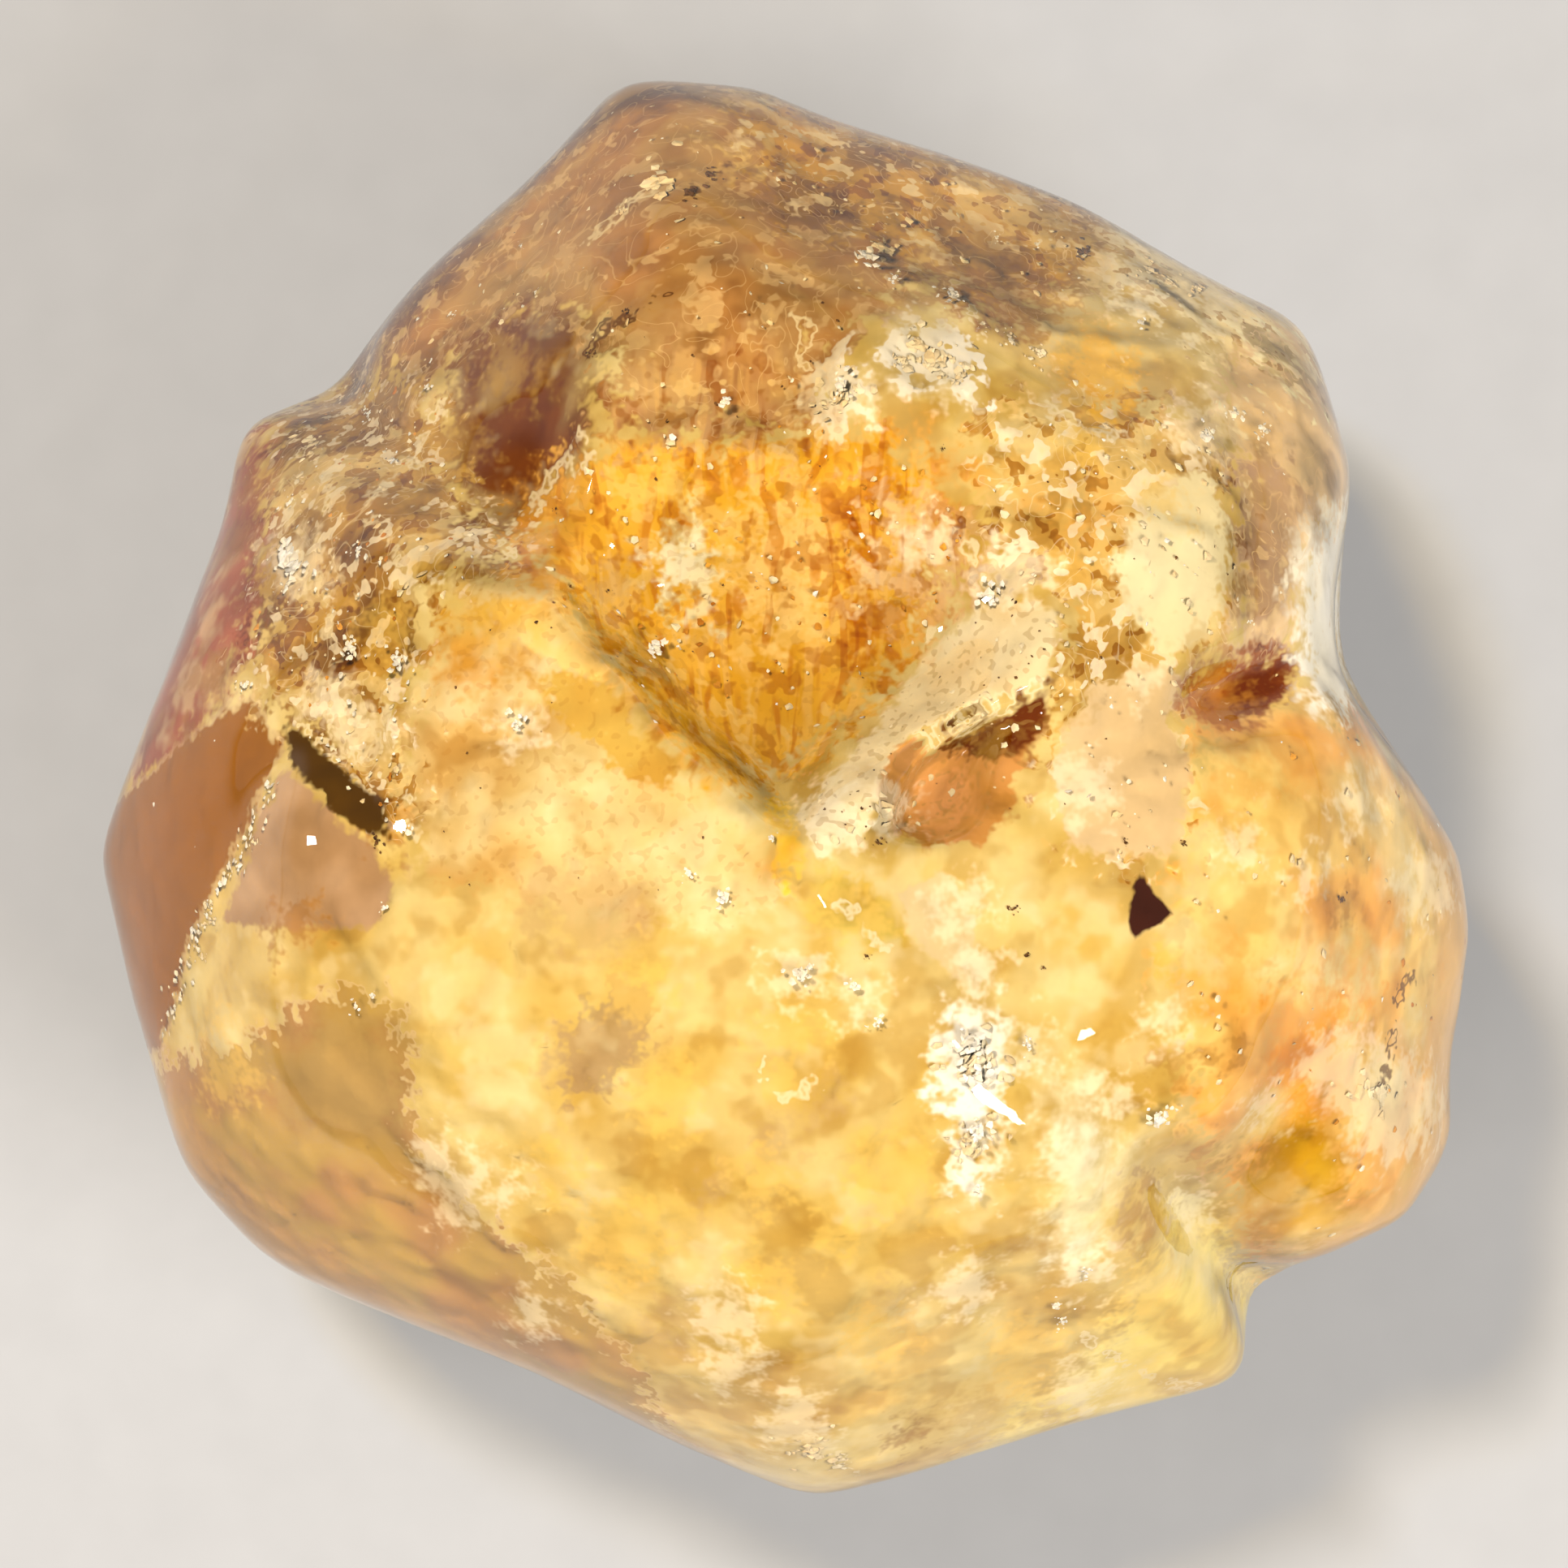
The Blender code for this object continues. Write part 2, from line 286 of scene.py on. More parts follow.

# Zones as they look from above, the later ones over the earlier: outline corners in mm, two tints
# that mottle it (the same twice where it is plain), width of its edge and how far that edge wanders
# in mm, and how much deeper than CLOUD_DEPTH the cloud lies.
# The tints are partly painted light: they carry the glow of light through the stone, lighter towards the
# lower right and darker towards the upper left.
ZONES = {
    "brown_window": (
        [(-7.8, 7), (-5.9, 9.8), (-3.3, 12.9), (-1, 13.2), (2.3, 11.7), (5.4, 10.4), (5.6, 8.6),
         (3.9, 7.9), (2.1, 8.4), (1, 7.2), (0.5, 5.9), (-1.6, 5.9), (-2.8, 6.1), (-2.9, 7.4),
         (-4.7, 8.1), (-5.9, 7.2)], "bc864a", "aa7c46", 0.30, 0.7, 0.5),
    "gold_window": (
        [(-0.5, 12.6), (2.3, 11.4), (5.6, 10.2), (5.8, 8.9), (3.4, 8.8), (1, 9.6), (-0.8, 11)],
        "dca830", "c89a34", 0.5, 0.9, 0.3),
    # Amber with painted shade: the hollow is darkened where its wall keeps the light off.
    "amber_hollow": (
        [(-5.8, 7.3), (-5.2, 8.1), (-4, 8.4), (-3, 7.9), (-3.2, 6.9), (-3.3, 5.7), (-3.9, 4.9),
         (-4.9, 4.1), (-5.8, 5.3)], "793e00", "793e00", 0.30, 0.35, 0.3),
    "left_sparkle": (
        [(-9.2, 6.7), (-7.6, 7.2), (-5.9, 6.7), (-5.5, 5), (-4.7, 3.8), (-6.1, 3), (-6.5, 1.2),
         (-6.1, -0.5), (-7.2, -0.7), (-8.4, 1.1), (-9.2, 1.8), (-9, 4.1)],
        "90621e", "c89840", 0.25, 0.7, 0.2),
    "pink_band": (
        [(-9.9, 6.5), (-9.1, 6.1), (-9, 3.8), (-9.4, 2), (-10.2, 0.5), (-11.2, -0.1), (-12.4, 0.7),
         (-11.4, 4)], "b05c3e", "9a4c2e", 0.30, 0.4, 0.0),
    "olive_patch": (
        [(-9.2, 1.5), (-8.6, 0.6), (-9.2, -0.7), (-10.1, -2.2), (-10.9, -4.6), (-11.8, -5.2),
         (-12.8, -1.2), (-11.6, -0.2), (-10.2, 0.9)], "9c6000", "9c6000", 0.10, 0.10, 0.3),
    "mauve_window": (
        [(-8.55, 0.3), (-7.6, -0.55), (-6.9, -1.1), (-6.6, -1.8), (-6.9, -2.4), (-8.2, -2.5),
         (-9.7, -2.4), (-9.1, -0.8)], "c69e78", "b08860", 0.08, 0.10, 0.3),
    "tan_flank": (
        [(-11.8, -5.2), (-9.2, -4.4), (-7.6, -3.4), (-6.4, -3.9), (-6.3, -6.1), (-5.2, -7.4),
         (-3.6, -8.6), (-2.4, -10.5), (-1.1, -13.4), (-4.9, -12.2), (-9.2, -10.4), (-12.4, -7.7)],
        "c09a4c", "b88850", 0.15, 0.35, 0.1),
    "pale_facet": (
        [(-5.3, 3.3), (-4, 3.6), (-2.7, 1.7), (-1.7, -0.1), (0.2, -1.8), (-1, -2.4), (-3.9, -2.1),
         (-6.2, -1.5), (-6.5, 0.9), (-5.9, 2.4)], "deb46c", "e4c688", 0.25, 0.3, 0.0),
    "right_cream": (
        [(3.4, 6.1), (5.2, 7), (7.7, 5.9), (7.8, 3), (6.8, 1.8), (7, -0.8), (5.8, -1.4),
         (4.7, -0.5), (4.4, 1.4), (4.7, 3), (3.8, 3.5), (3.1, 4.7)], "d8a850", "e0b86c", 0.30, 0.8, 0.0),
    "clear_corner": (
        [(7.7, 7.7), (8.6, 9), (10.9, 8), (11.3, 5.3), (9.9, 4.6), (9.1, 4), (8.8, 2.4),
         (7.8, 2.2), (7.6, 3.8), (7.8, 5.3), (7.5, 6.4)], "eccca2", "d4b686", 0.20, 0.4, 0.5),
    "cream_shoulder": (
        [(5.6, 9.6), (6.3, 9.9), (8.9, 8.4), (9.9, 7), (8.9, 6.9), (7.8, 7.6), (6.6, 8.2),
         (5.5, 8.6)], "fff4d0", "fae6b8", 0.40, 0.9, 0.0),
    "grey_glass": (
        [(7.7, 5.6), (8.3, 5.9), (8.9, 5.2), (8.8, 3.4), (8.3, 2.7), (7.8, 3.2)],
        "c09c82", "b08c66", 0.25, 0.5, 0.2),
    "tan_shade": (
        [(-9, -4.9), (-7.6, -3.9), (-6.5, -4.1), (-6.4, -5.8), (-7.3, -6.3), (-8.7, -6)],
        "b89454", "b89454", 0.45, 0.35, 0.0),
    "peach_lobe": (
        [(6.8, 1.2), (8.6, 2.0), (10.4, 1.3), (12.8, -0.5), (13.4, -2.1), (13.2, -4.8), (13.0, -6.6),
         (10.8, -8.9), (9.1, -9.8), (8.2, -8.7), (8.1, -7.4), (6.7, -5.6), (6.5, -2.7), (6.8, -0.5)],
        "f8b858", "f4ce7a", 0.35, 0.7, 0.1),
    # Painted reflection: the greyish lilac sheen of the surroundings mirrored in the polish along the upper
    # left rim.
    "lilac_rim": (
        [(-8.4, 7.5), (-6.9, 9.7), (-5, 11.8), (-3.4, 12.9), (-1.5, 13.2), (0.6, 12.6), (-1.5, 12),
         (-2.9, 11.6), (-4.2, 10.7), (-5.9, 8.9), (-7.3, 7)], "7e5644", "7e5644", 0.30, 0.2, 0.0),
    # Painted light: the tan-cream band along the lower left rim stands for light reflected and let through
    # at the stone's edge.
    "cream_rim": (
        [(-11.6, -5.9), (-10.6, -8.2), (-8.2, -9.8), (-3.9, -11.8), (-0.8, -13.2), (-1, -11.9),
         (-3.6, -10.6), (-6.5, -9.2), (-9.3, -7.4), (-10.6, -5.7)], "c5944c", "c5944c", 0.35, 0.2, 0.0),
    # Painted light: the peach band along the right rim is brightened for the light that reaches the edge
    # there.
    "peach_rim": (
        [(11.6, 0.6), (12.4, -1), (12.6, -1.9), (12.4, -4.8), (12.5, -6.1), (11.9, -7.4),
         (10.8, -8.4), (9.4, -9.1), (9.2, -8), (10.3, -7.4), (11, -6.7), (11.4, -5.9),
         (11.3, -4.7), (11.5, -3.4), (11.5, -1.9), (11.3, -1.1), (10.7, 0.1)],
        "e9b86c", "e9b86c", 0.30, 0.2, 0.0),
    "orange_glow": (
        [(8.3, -3.8), (9.1, -3.3), (9.9, -3.8), (9.7, -5.3), (9.0, -6.1), (8.4, -5.4)],
        "f7a31d", "f7a31d", 0.5, 0.5, 0.0),
    "olive_hollow": (
        [(8.4, -5.9), (9.0, -5.6), (9.9, -6.6), (9.7, -7.7), (8.8, -8.3), (8.3, -8.0), (8.1, -6.7)],
        "c08c08", "dcac1c", 0.4, 0.4, 0.3),
    "orange_basin": (
        [(-4.7, 4), (-3.6, 5.3), (-2.9, 5.9), (-1, 6), (1.2, 6.2), (2.2, 5.9), (2.9, 4.8),
         (3.2, 3.8), (2.4, 2.6), (1.4, 1.2), (0.7, 0.5), (-0.4, 0), (-1.5, 0.2), (-2.5, 1.4),
         (-3.4, 2.6)], "dc9e20", "eaae3a", 0.35, 0.6, 0.1),
    "amber_top": (
        [(-5.5, 7.4), (-4.4, 8), (-3.2, 7.9), (-2.8, 7.2), (-3.6, 6.8), (-4.8, 6.6)],
        "7e4c00", "7e4c00", 0.35, 0.6, 0.0),
    "basin_glow": (
        [(-0.4, 4.6), (0.3, 4.9), (0.8, 4.4), (0.7, 3.2), (0.2, 2.4), (-0.5, 2.6), (-0.8, 3.6)],
        "efbe69", "efbe69", 0.50, 0.7, 0.0),
    "basin_sparkle": (
        [(-2.2, 4.6), (-1.6, 4.7), (-1.25, 3.9), (-1.3, 2.9), (-1.9, 3.1), (-2.1, 3.8)],
        "e0cc94", "dabc6c", 0.20, 0.5, 0.0),
    "basin_wall": (
        [(1, 4.8), (1.5, 4.9), (1.8, 3.8), (1.6, 2.4), (1.1, 1.9), (1, 3.2)],
        "c47600", "c47600", 0.30, 0.5, 0.0),
    "blush_patch": (
        [(1.7, 5), (2.6, 4.9), (3.2, 4.2), (3.2, 3.4), (2.4, 3), (1.7, 3.3)],
        "d8a870", "e2bc8a", 0.35, 0.9, 0.0),
    "blush_band": (
        [(-2.8, 7.2), (-1.6, 7.5), (-0.2, 7.4), (0.5, 6.6), (0.3, 5.9), (-1.6, 5.8), (-2.8, 6)],
        "b88450", "c89a68", 0.40, 0.8, 0.0),
    "gold_facet": (
        [(-4.1, 1.9), (-2.9, 1.75), (-2.4, 1), (-1.75, 0.3), (-1.9, -0.1), (-2.6, 0.15),
         (-3.4, 0.75), (-4, 1.2)], "ca983a", "d4aa4c", 0.12, 0.2, 0.0),
    "gold_cap": (
        [(-5.9, 2.9), (-5.2, 3.2), (-4.3, 2.9), (-4.1, 2.3), (-4.3, 1.7), (-5.3, 1.75),
         (-5.9, 2.2)], "c68a22", "d29e30", 0.35, 0.4, 0.0),
    "orange_streak": (
        [(-0.25, -0.3), (0.15, -0.4), (0.4, -1.2), (0.1, -1.8), (-0.2, -1.2)],
        "ffd23e", "ffd23e", 0.12, 0.2, 0.0),
    "grey_blob": (
        [(-2.6, -3.3), (-3.3, -3.7), (-3.75, -4.4), (-3.6, -5.2), (-2.9, -5.1), (-2.3, -4.5),
         (-2.2, -3.8)], "a4845a", "b89862", 0.15, 0.4, 0.0),
    # Painted glare: a white streak of light mirrored off the polish.
    "white_streak": (
        [(2.7, -3.9), (3.3, -3.7), (3.6, -4.3), (3.6, -5.3), (3.35, -5.8), (3.4, -6.9),
         (2.85, -6.9), (2.85, -5.7), (2.5, -5.2), (2.65, -4.5)], "fef7ec", "fef7ec", 0.25, 0.35, 0.0),
    "pale_streak": (
        [(4.6, -5), (5.2, -4.9), (5.6, -6.4), (5.4, -8.2), (4.8, -8.4), (4.5, -7)],
        "f4e8c8", "f0deb0", 0.50, 0.35, 0.0),
    "left_crumbs": (
        [(0.55, 7.1), (1, 7.4), (1.35, 6.9), (1.2, 6), (0.7, 5.8), (0.45, 6.5)],
        "eedabc", "f6eada", 0.08, 0.4, 0.0),
    "right_crumbs": (
        [(1.5, 7.3), (2.2, 8), (2.9, 7.8), (3.4, 7.2), (3.3, 6.5), (2.6, 6.8), (2, 6.9)],
        "faf0e0", "faf0e0", 0.08, 0.4, 0.0),
    "yellow_pocket": (
        [(0.5, -1.2), (1.5, -1.7), (2.1, -2.7), (1.3, -3.0), (0.5, -2.2)],
        "d0a83c", "ccb054", 0.15, 0.2, 0.0),
    "cream_facet": (
        [(2.7, -1.4), (3.2, -2.1), (3.5, -3.8), (3.1, -3.6), (2.2, -2.7), (1.9, -1.8)],
        "e1c693", "e1c693", 0.08, 0.12, 0.0),
    "pale_triangle": (
        [(-3.9, 3.4), (-2.7, 1.6), (-3.8, 2), (-4.6, 2.5)], "faca6e", "faca6e", 0.06, 0.08, 0.0),
    "gold_pocket": (
        [(4.8, 7.5), (5.6, 7.8), (6.1, 7.2), (6, 6.5), (5.3, 6.2), (4.7, 6.6)],
        "f4b418", "f4b418", 0.25, 0.4, 0.0),
    "speckled_tongue": (
        [(2.6, 2.4), (3.6, 3.2), (4.7, 3), (4.4, 1.7), (2.1, 0.7), (1.3, -1.1), (0.5, -1.2),
         (0.2, -0.5), (1.5, 0.9)], "f2dcac", "e8ca94", 0.08, 0.12, 0.0),
    "cavity": (
        [(1.9, 0.55), (3, 0.75), (4.4, 1.6), (4.5, 1.1), (4, 0.3), (3.9, -0.5), (3.3, -1),
         (2.4, -1.1), (1.8, -0.8), (1.6, -0.2)], "d89650", "bc8036", 0.08, 0.15, 0.0),
    "cavity_glow": (
        [(2.3, 0.2), (3.1, 0.2), (3.3, -0.4), (2.8, -0.8), (2.2, -0.6)],
        "e49e5c", "e49e5c", 0.25, 0.3, 0.0),
    "cavity_shade": (
        [(2.6, 0.75), (3.6, 1.2), (4.45, 1.7), (4.5, 1.2), (4.1, 0.5), (3.4, 0.45), (2.8, 0.5)],
        "672b00", "672b00", 0.12, 0.2, 0.0),
    "pale_stem": (
        [(6, 2.1), (5.2, 1.5), (4.7, 0.9), (4.6, -0.3), (4.9, -1.2), (6.7, -1.2), (6.9, 0.2),
         (6.6, 1.1), (6.8, 1.9)], "e4c392", "e4c392", 0.08, 0.15, 0.0),
    "pale_lobe": (
        [(7.15, 5.5), (7.5, 4.9), (7.7, 3.7), (7.3, 2.7), (6.6, 2.1), (5.9, 2.8), (5.6, 3.7),
         (6.1, 4.8)], "efdeb0", "efdeb0", 0.12, 0.22, 0.0),
    "corner_lobe": (
        [(6.7, -7.2), (7.4, -7.4), (8.2, -9), (9.1, -10), (8, -12.2), (5.4, -12.8), (1.6, -13.6),
         (4.1, -10.9), (5.5, -9.9), (6.2, -8.6)], "ffe582", "f8da78", 0.35, 0.45, 0.1),
    # Painted shadow: a red-brown pocket in shade, with a darker core where the shade is deepest.
    "rust_pocket": (
        [(6.8, 1.9), (7.6, 2.15), (8.6, 2.4), (9, 2), (8.4, 1.3), (7.7, 0.9), (7.1, 1),
         (6.75, 1.4)], "9c500c", "8a420a", 0.18, 0.25, 0.0),
    "rust_core": (
        [(7.7, 1.9), (8.8, 2.25), (8.5, 1.6), (7.9, 1.1), (7.4, 1.2)],
        "6a2900", "6a2900", 0.15, 0.15, 0.0),
    # Painted highlight: the white bar of light mirrored on the steep right flank.
    "cream_bar": (
        [(8.9, 4.4), (9.3, 4.8), (9.9, 4.9), (10.2, 4.3), (10, 3), (10, 1.6), (9.6, 1.2),
         (9.1, 1.4), (8.9, 2.2), (8.8, 3.3)], "fffaf0", "fffaf0", 0.30, 0.40, 0.0),
    "rust_sliver": (
        [(-8.6, 1.1), (-8.1, 0.75), (-7.5, 0.2), (-6.8, -0.3), (-6.7, -0.95), (-7.5, -0.6),
         (-8.35, 0.25)], "533500", "533500", 0.06, 0.08, 0.0),
    "dark_wedge": (
        [(6.0, -1.5), (6.6, -2.2), (5.9, -2.7), (5.8, -2.2)], "3f1b0f", "3f1b0f", 0.04, 0.03, 0.0),
}

# Round cloudy spots in the crown: tint, strength, width of the edge in mm, and each one's middle
# and radius in mm.
SPOTS = {
    # Mauve spots, partly painted shade: greyish darker patches, among them the shadow under the pale blob
    # at (-1.0, -9.2).
    "mauve": ("bc9868", 0.45, 0.35, [
        (-3.4, -4.6, 0.6), (-2.6, -4.3, 0.4), (-1.1, -6.9, 0.3), (-1.8, -9.2, 0.5), (-3.2, -2.1, 0.8),
        (-4.0, -2.0, 0.5), (-1.6, 10.2, 0.4), (-0.1, -6.0, 0.4), (0.8, -5.4, 0.3), (-2.9, 3.4, 0.3),
        (-2.1, 7.6, 0.6), (-3.9, 9.2, 0.6), (0.2, 7.6, 0.5),
        (8.6, 4.7, 0.5), (8.3, 5.9, 0.3), (3.5, 9.2, 0.4), (1.8, -9.0, 0.4),
        (-6.8, 6.7, 0.3)]),
    "yellow": ("ecc25e", 0.50, 0.30, [
        (0.1, -4.1, 0.5), (-0.1, -4.9, 0.3), (-0.4, -6.8, 0.4), (0.9, -7.8, 0.3), (4.3, -9.9, 0.7),
        (-2.7, -7.7, 0.7), (-9.6, -5.1, 0.4), (-9.8, -4.3, 0.3), (0.9, -2.0, 0.4), (5.4, 7.4, 0.8),
        (1.4, -2.4, 0.3), (-4.6, 2.7, 0.4), (-2.0, -5.3, 0.6), (1.9, -6.6, 0.7), (-3.9, -6.6, 0.5),
        (-0.4, -8.6, 0.5), (1.6, -9.5, 0.5), (-2.4, -3.5, 0.5), (-6.8, 2.7, 0.4), (-5.9, 3.8, 0.3),
        (-2.1, 5.0, 0.4), (6.2, -8.6, 0.5), (6.5, 4.7, 0.3), (5.1, 5.9, 0.4)]),
    "orange": ("de9a3a", 0.40, 0.35, [
        (-5.4, 2.1, 0.5), (2.2, 2.9, 0.4), (7.4, 1.5, 0.5), (-0.1, -1.1, 0.3), (5.2, 4.6, 0.4),
        (-1.0, 5.3, 0.3), (0.6, 5.0, 0.3), (-4.0, 3.5, 0.4), (8.6, 0.5, 0.5), (7.7, 0.1, 0.4),
        (2.8, 5.3, 0.4), (9.7, -3.1, 0.4), (-6.6, -0.7, 0.2), (-8.2, -2.5, 0.3), (2.2, 5.9, 0.3),
        (4.2, 4.7, 0.2), (-3.9, 4.7, 0.6), (7.7, -3.1, 0.3)]),
    "olive": ("bc9240", 0.42, 0.30, [
        (2.3, -11.1, 0.3), (3.4, -11.0, 0.4), (4.8, -11.1, 0.2), (8.4, -7.2, 0.6), (3.5, 0.8, 0.3),
        (5.2, 9.4, 0.4), (7.8, 3.4, 0.2), (7.1, 2.3, 0.2), (-4.7, 7.2, 0.5), (-5.6, 5.9, 0.5),
        (-8.5, 5.3, 0.3), (-8.1, 4.7, 0.3), (-6.3, 4.7, 0.3), (-5.3, 3.5, 0.2), (3.4, 9.6, 0.5),
        (2.3, 8.2, 0.3), (4.2, 8.2, 0.3), (4.8, 6.7, 0.4), (5.5, 3.0, 0.2), (4.8, 1.2, 0.2)]),
    "brown": ("a06a22", 0.50, 0.22, [
        (7.1, -6.3, 0.2), (6.1, -7.6, 0.35), (-8.4, -2.4, 0.35),
        (7.7, -4.5, 0.2), (6.6, -4.8, 0.3), (9.6, -2.0, 0.2), (6.2, -6.9, 0.2), (-6.7, -1.1, 0.2),
        (-10.1, 2.0, 0.3), (-9.6, 4.3, 0.3), (-9.3, 5.2, 0.3), (-10.4, 0.9, 0.2), (4.1, 7.9, 0.2),
        (-5.9, 7.4, 0.2), (7.3, -4.7, 0.1), (2.1, -11.3, 0.2), (3.5, -0.3, 0.2)]),
    # Milk spots, partly the soft halos of painted glints, such as those at (-4.5, 1.0), (0.2, -3.3) and
    # along the glare streak near x = 3.2.
    "milk": ("fff0d0", 0.50, 0.30, [
        (9.9, -0.3, 0.4), (11.2, -1.8, 0.5), (5.1, -0.1, 0.5), (6.1, 1.8, 0.2),
        (7.8, -1.0, 0.3), (9.0, -1.6, 0.2), (10.6, -5.7, 0.9), (9.7, -5.0, 0.7), (4.9, -6.3, 0.4),
        (5.2, -8.3, 0.4), (-1.0, -9.2, 0.5), (-0.9, -10.0, 0.4), (-5.9, -6.5, 0.35), (-5.3, -6.9, 0.35),
        (-5.6, -7.3, 0.25), (4.1, -4.4, 0.3), (7.0, -7.3, 0.3),
        (-4.3, -9.2, 0.3), (0.2, -11.1, 0.5), (2.4, 4.0, 0.3), (3.2, -4.8, 0.5), (3.3, -6.2, 0.4),
        (3.2, -3.8, 0.3), (3.0, -2.1, 0.4), (3.3, -3.1, 0.3), (-1.7, 3.7, 0.4), (-1.4, 3.0, 0.2),
        (0.2, -3.3, 0.4), (1.3, -3.6, 0.3), (-4.5, 1.0, 0.3), (-7.8, 1.4, 0.4), (-7.3, 0.9, 0.4),
        (7.3, 6.1, 0.6), (2.2, 7.4, 0.6), (2.8, 7.0, 0.4), (1.0, 6.6, 0.5), (7.0, 8.9, 0.6),
        (6.1, 8.5, 0.3), (-8.4, 3.8, 0.5), (3.9, 3.5, 0.5), (0.8, -0.5, 0.5), (1.7, -0.5, 0.4),
        (-4.7, -6.9, 0.2), (3.1, -8.6, 0.4), (6.5, -4.0, 0.3), (5.5, -5.3, 0.3),
        (8.3, -5.6, 0.3), (5.2, -10.6, 0.4)]),
}

# Healed cracks that show as thin lines: places in mm. Some pale lines are painted highlights: the trail of
# the glint at (3.5, 3.2) and the bright lit lip of the tongue over the cavity.
PALE_LINES_AND_GLINTS = [
    [(2.9, 8.6), (3.2, 8.2), (3.4, 7.6)], [(-2.3, 10.3), (-2.9, 9.8), (-3.5, 9.3)],
    [(2.4, 5.0), (3.0, 4.2), (3.5, 3.3)], [(4.45, 1.8), (3.7, 1.35), (2.9, 1.0), (2.0, 0.7), (1.4, 0.4)],
    [(-7.7, 0.9), (-7.4, 1.1), (-7.0, 1.0), (-6.9, 0.6), (-7.2, 0.4), (-7.5, 0.55)],
    [(-8.3, 1.0), (-7.8, 0.6), (-7.3, 0.0), (-6.9, -0.3), (-6.5, -0.7)],
    [(-6.8, 1.2), (-6.6, 0.5), (-6.4, -0.1), (-6.3, -0.8)],
    [(-5.1, 3.9), (-4.6, 4.4), (-3.9, 5.3), (-3.5, 6.0)], [(-4.7, 3.9), (-4.3, 4.5), (-3.8, 5.0)],
    [(-3.7, 4.9), (-3.3, 5.6)], [(0.1, 8.0), (0.5, 7.8), (0.3, 7.4)], [(-0.3, 7.4), (0.2, 7.2), (0.5, 7.0)],
    [(4.5, 6.4), (5.1, 6.1), (5.8, 6.0)], [(-8.2, 3.8), (-7.8, 3.3), (-7.8, 2.5)],
    [(-7.2, 4.7), (-6.5, 3.8), (-5.9, 3.5)], [(-5.9, 6.6), (-6.4, 5.6), (-7.1, 4.9)],
    [(-8.6, 6.0), (-7.9, 5.4), (-7.9, 4.6)], [(0.9, -2.0), (1.2, -2.1), (1.7, -2.8)],
    [(0.2, -11.1), (0.8, -11.6), (1.3, -12.1)], [(-0.4, -4.7), (-0.3, -5.1), (0.1, -5.3), (0.5, -5.1)],
    [(5.2, -9.6), (6.4, -10.4), (7.6, -10.8)]]
DARK_VEINS = [
    [(-3.4, 7.3), (-3.0, 7.8), (-2.5, 8.1), (-2.0, 8.4)],
    [(10.9, -3.3), (10.7, -3.8), (10.6, -4.3), (10.4, -5.2)], [(-1.6, 10.2), (-1.0, 10.7)]]

HONEY, HONEY_DEEP = "dec078", "d8b45e"


def from_line(plan, start, end):
    """Distance in plan from each point to one straight line, in mm."""
    start, end = np.array(start), np.array(end)
    side = end - start
    along = np.clip((plan - start) @ side / (side @ side), 0.0, 1.0)
    return np.linalg.norm(plan - start - along[:, None] * side, axis=1)


def depth_inside(points, outline):
    """Distance in plan from each point to the outline, in mm: positive inside it, negative outside."""
    plan = points[:, :2]
    nearest = np.full(len(plan), 1e9)
    inside = np.zeros(len(plan), bool)
    for start, end in zip(outline, outline[1:] + outline[:1]):
        nearest = np.minimum(nearest, from_line(plan, start, end))
        spans = (start[1] > plan[:, 1]) != (end[1] > plan[:, 1])
        rise = (end[1] - start[1]) or 1e-9
        inside ^= spans & (plan[:, 0] < start[0] + (plan[:, 1] - start[1]) * (end[0] - start[0]) / rise)
    return np.where(inside, nearest, -nearest)


def eased(values, low, high):
    """Smooth step of the values from 0 at low to 1 at high."""
    t = np.clip((values - low) / (high - low), 0.0, 1.0)
    return t * t * (3.0 - 2.0 * t)


def splits(points, size, seed):
    """Height of a broken crystal face at each point, -1 to 1: flat tilted chips about this size in mm."""
    rng = np.random.default_rng(seed)
    low, high = points.min(axis=0) - size, points.max(axis=0) + size
    steps = np.ceil((high - low) / size).astype(int)
    cells = np.stack(np.meshgrid(*[np.arange(n) for n in steps], indexing="ij"), -1).reshape(-1, 3)
    seeds = low + (cells + rng.random(cells.shape)) * size
    rise, tilt = rng.uniform(-1.0, 1.0, len(seeds)), rng.normal(0.0, 1.0, seeds.shape)
    finder = kdtree.KDTree(len(seeds))
    for number, seed_place in enumerate(seeds):
        finder.insert(seed_place, number)
    finder.balance()
    near = np.array([finder.find(p)[1] for p in points])
    return 0.5 * rise[near] + 0.5 * np.einsum("ij,ij->i", points - seeds[near], tilt[near]) / size


skin_finder = BVHTree.FromPolygons([v.co / MM for v in skin_mesh.vertices],
                                   [list(p.vertices) for p in skin_mesh.polygons])
DOWN = Vector((0.0, 0.0, -1.0))


def looking_down(x, y):
    """Where a straight look down at (x, y) meets the polish, and which way it goes on inside, bent."""
    place, normal, _, _ = skin_finder.ray_cast(Vector((x, y, LOOK_FROM)), DOWN)
    if place is None:
        return None, None
    slow = 1.0 / GROSSULAR_IOR
    return place, (slow * DOWN + (slow * normal.z - math.sqrt(
        1.0 - slow * slow * (1.0 - normal.z * normal.z))) * normal).normalized()


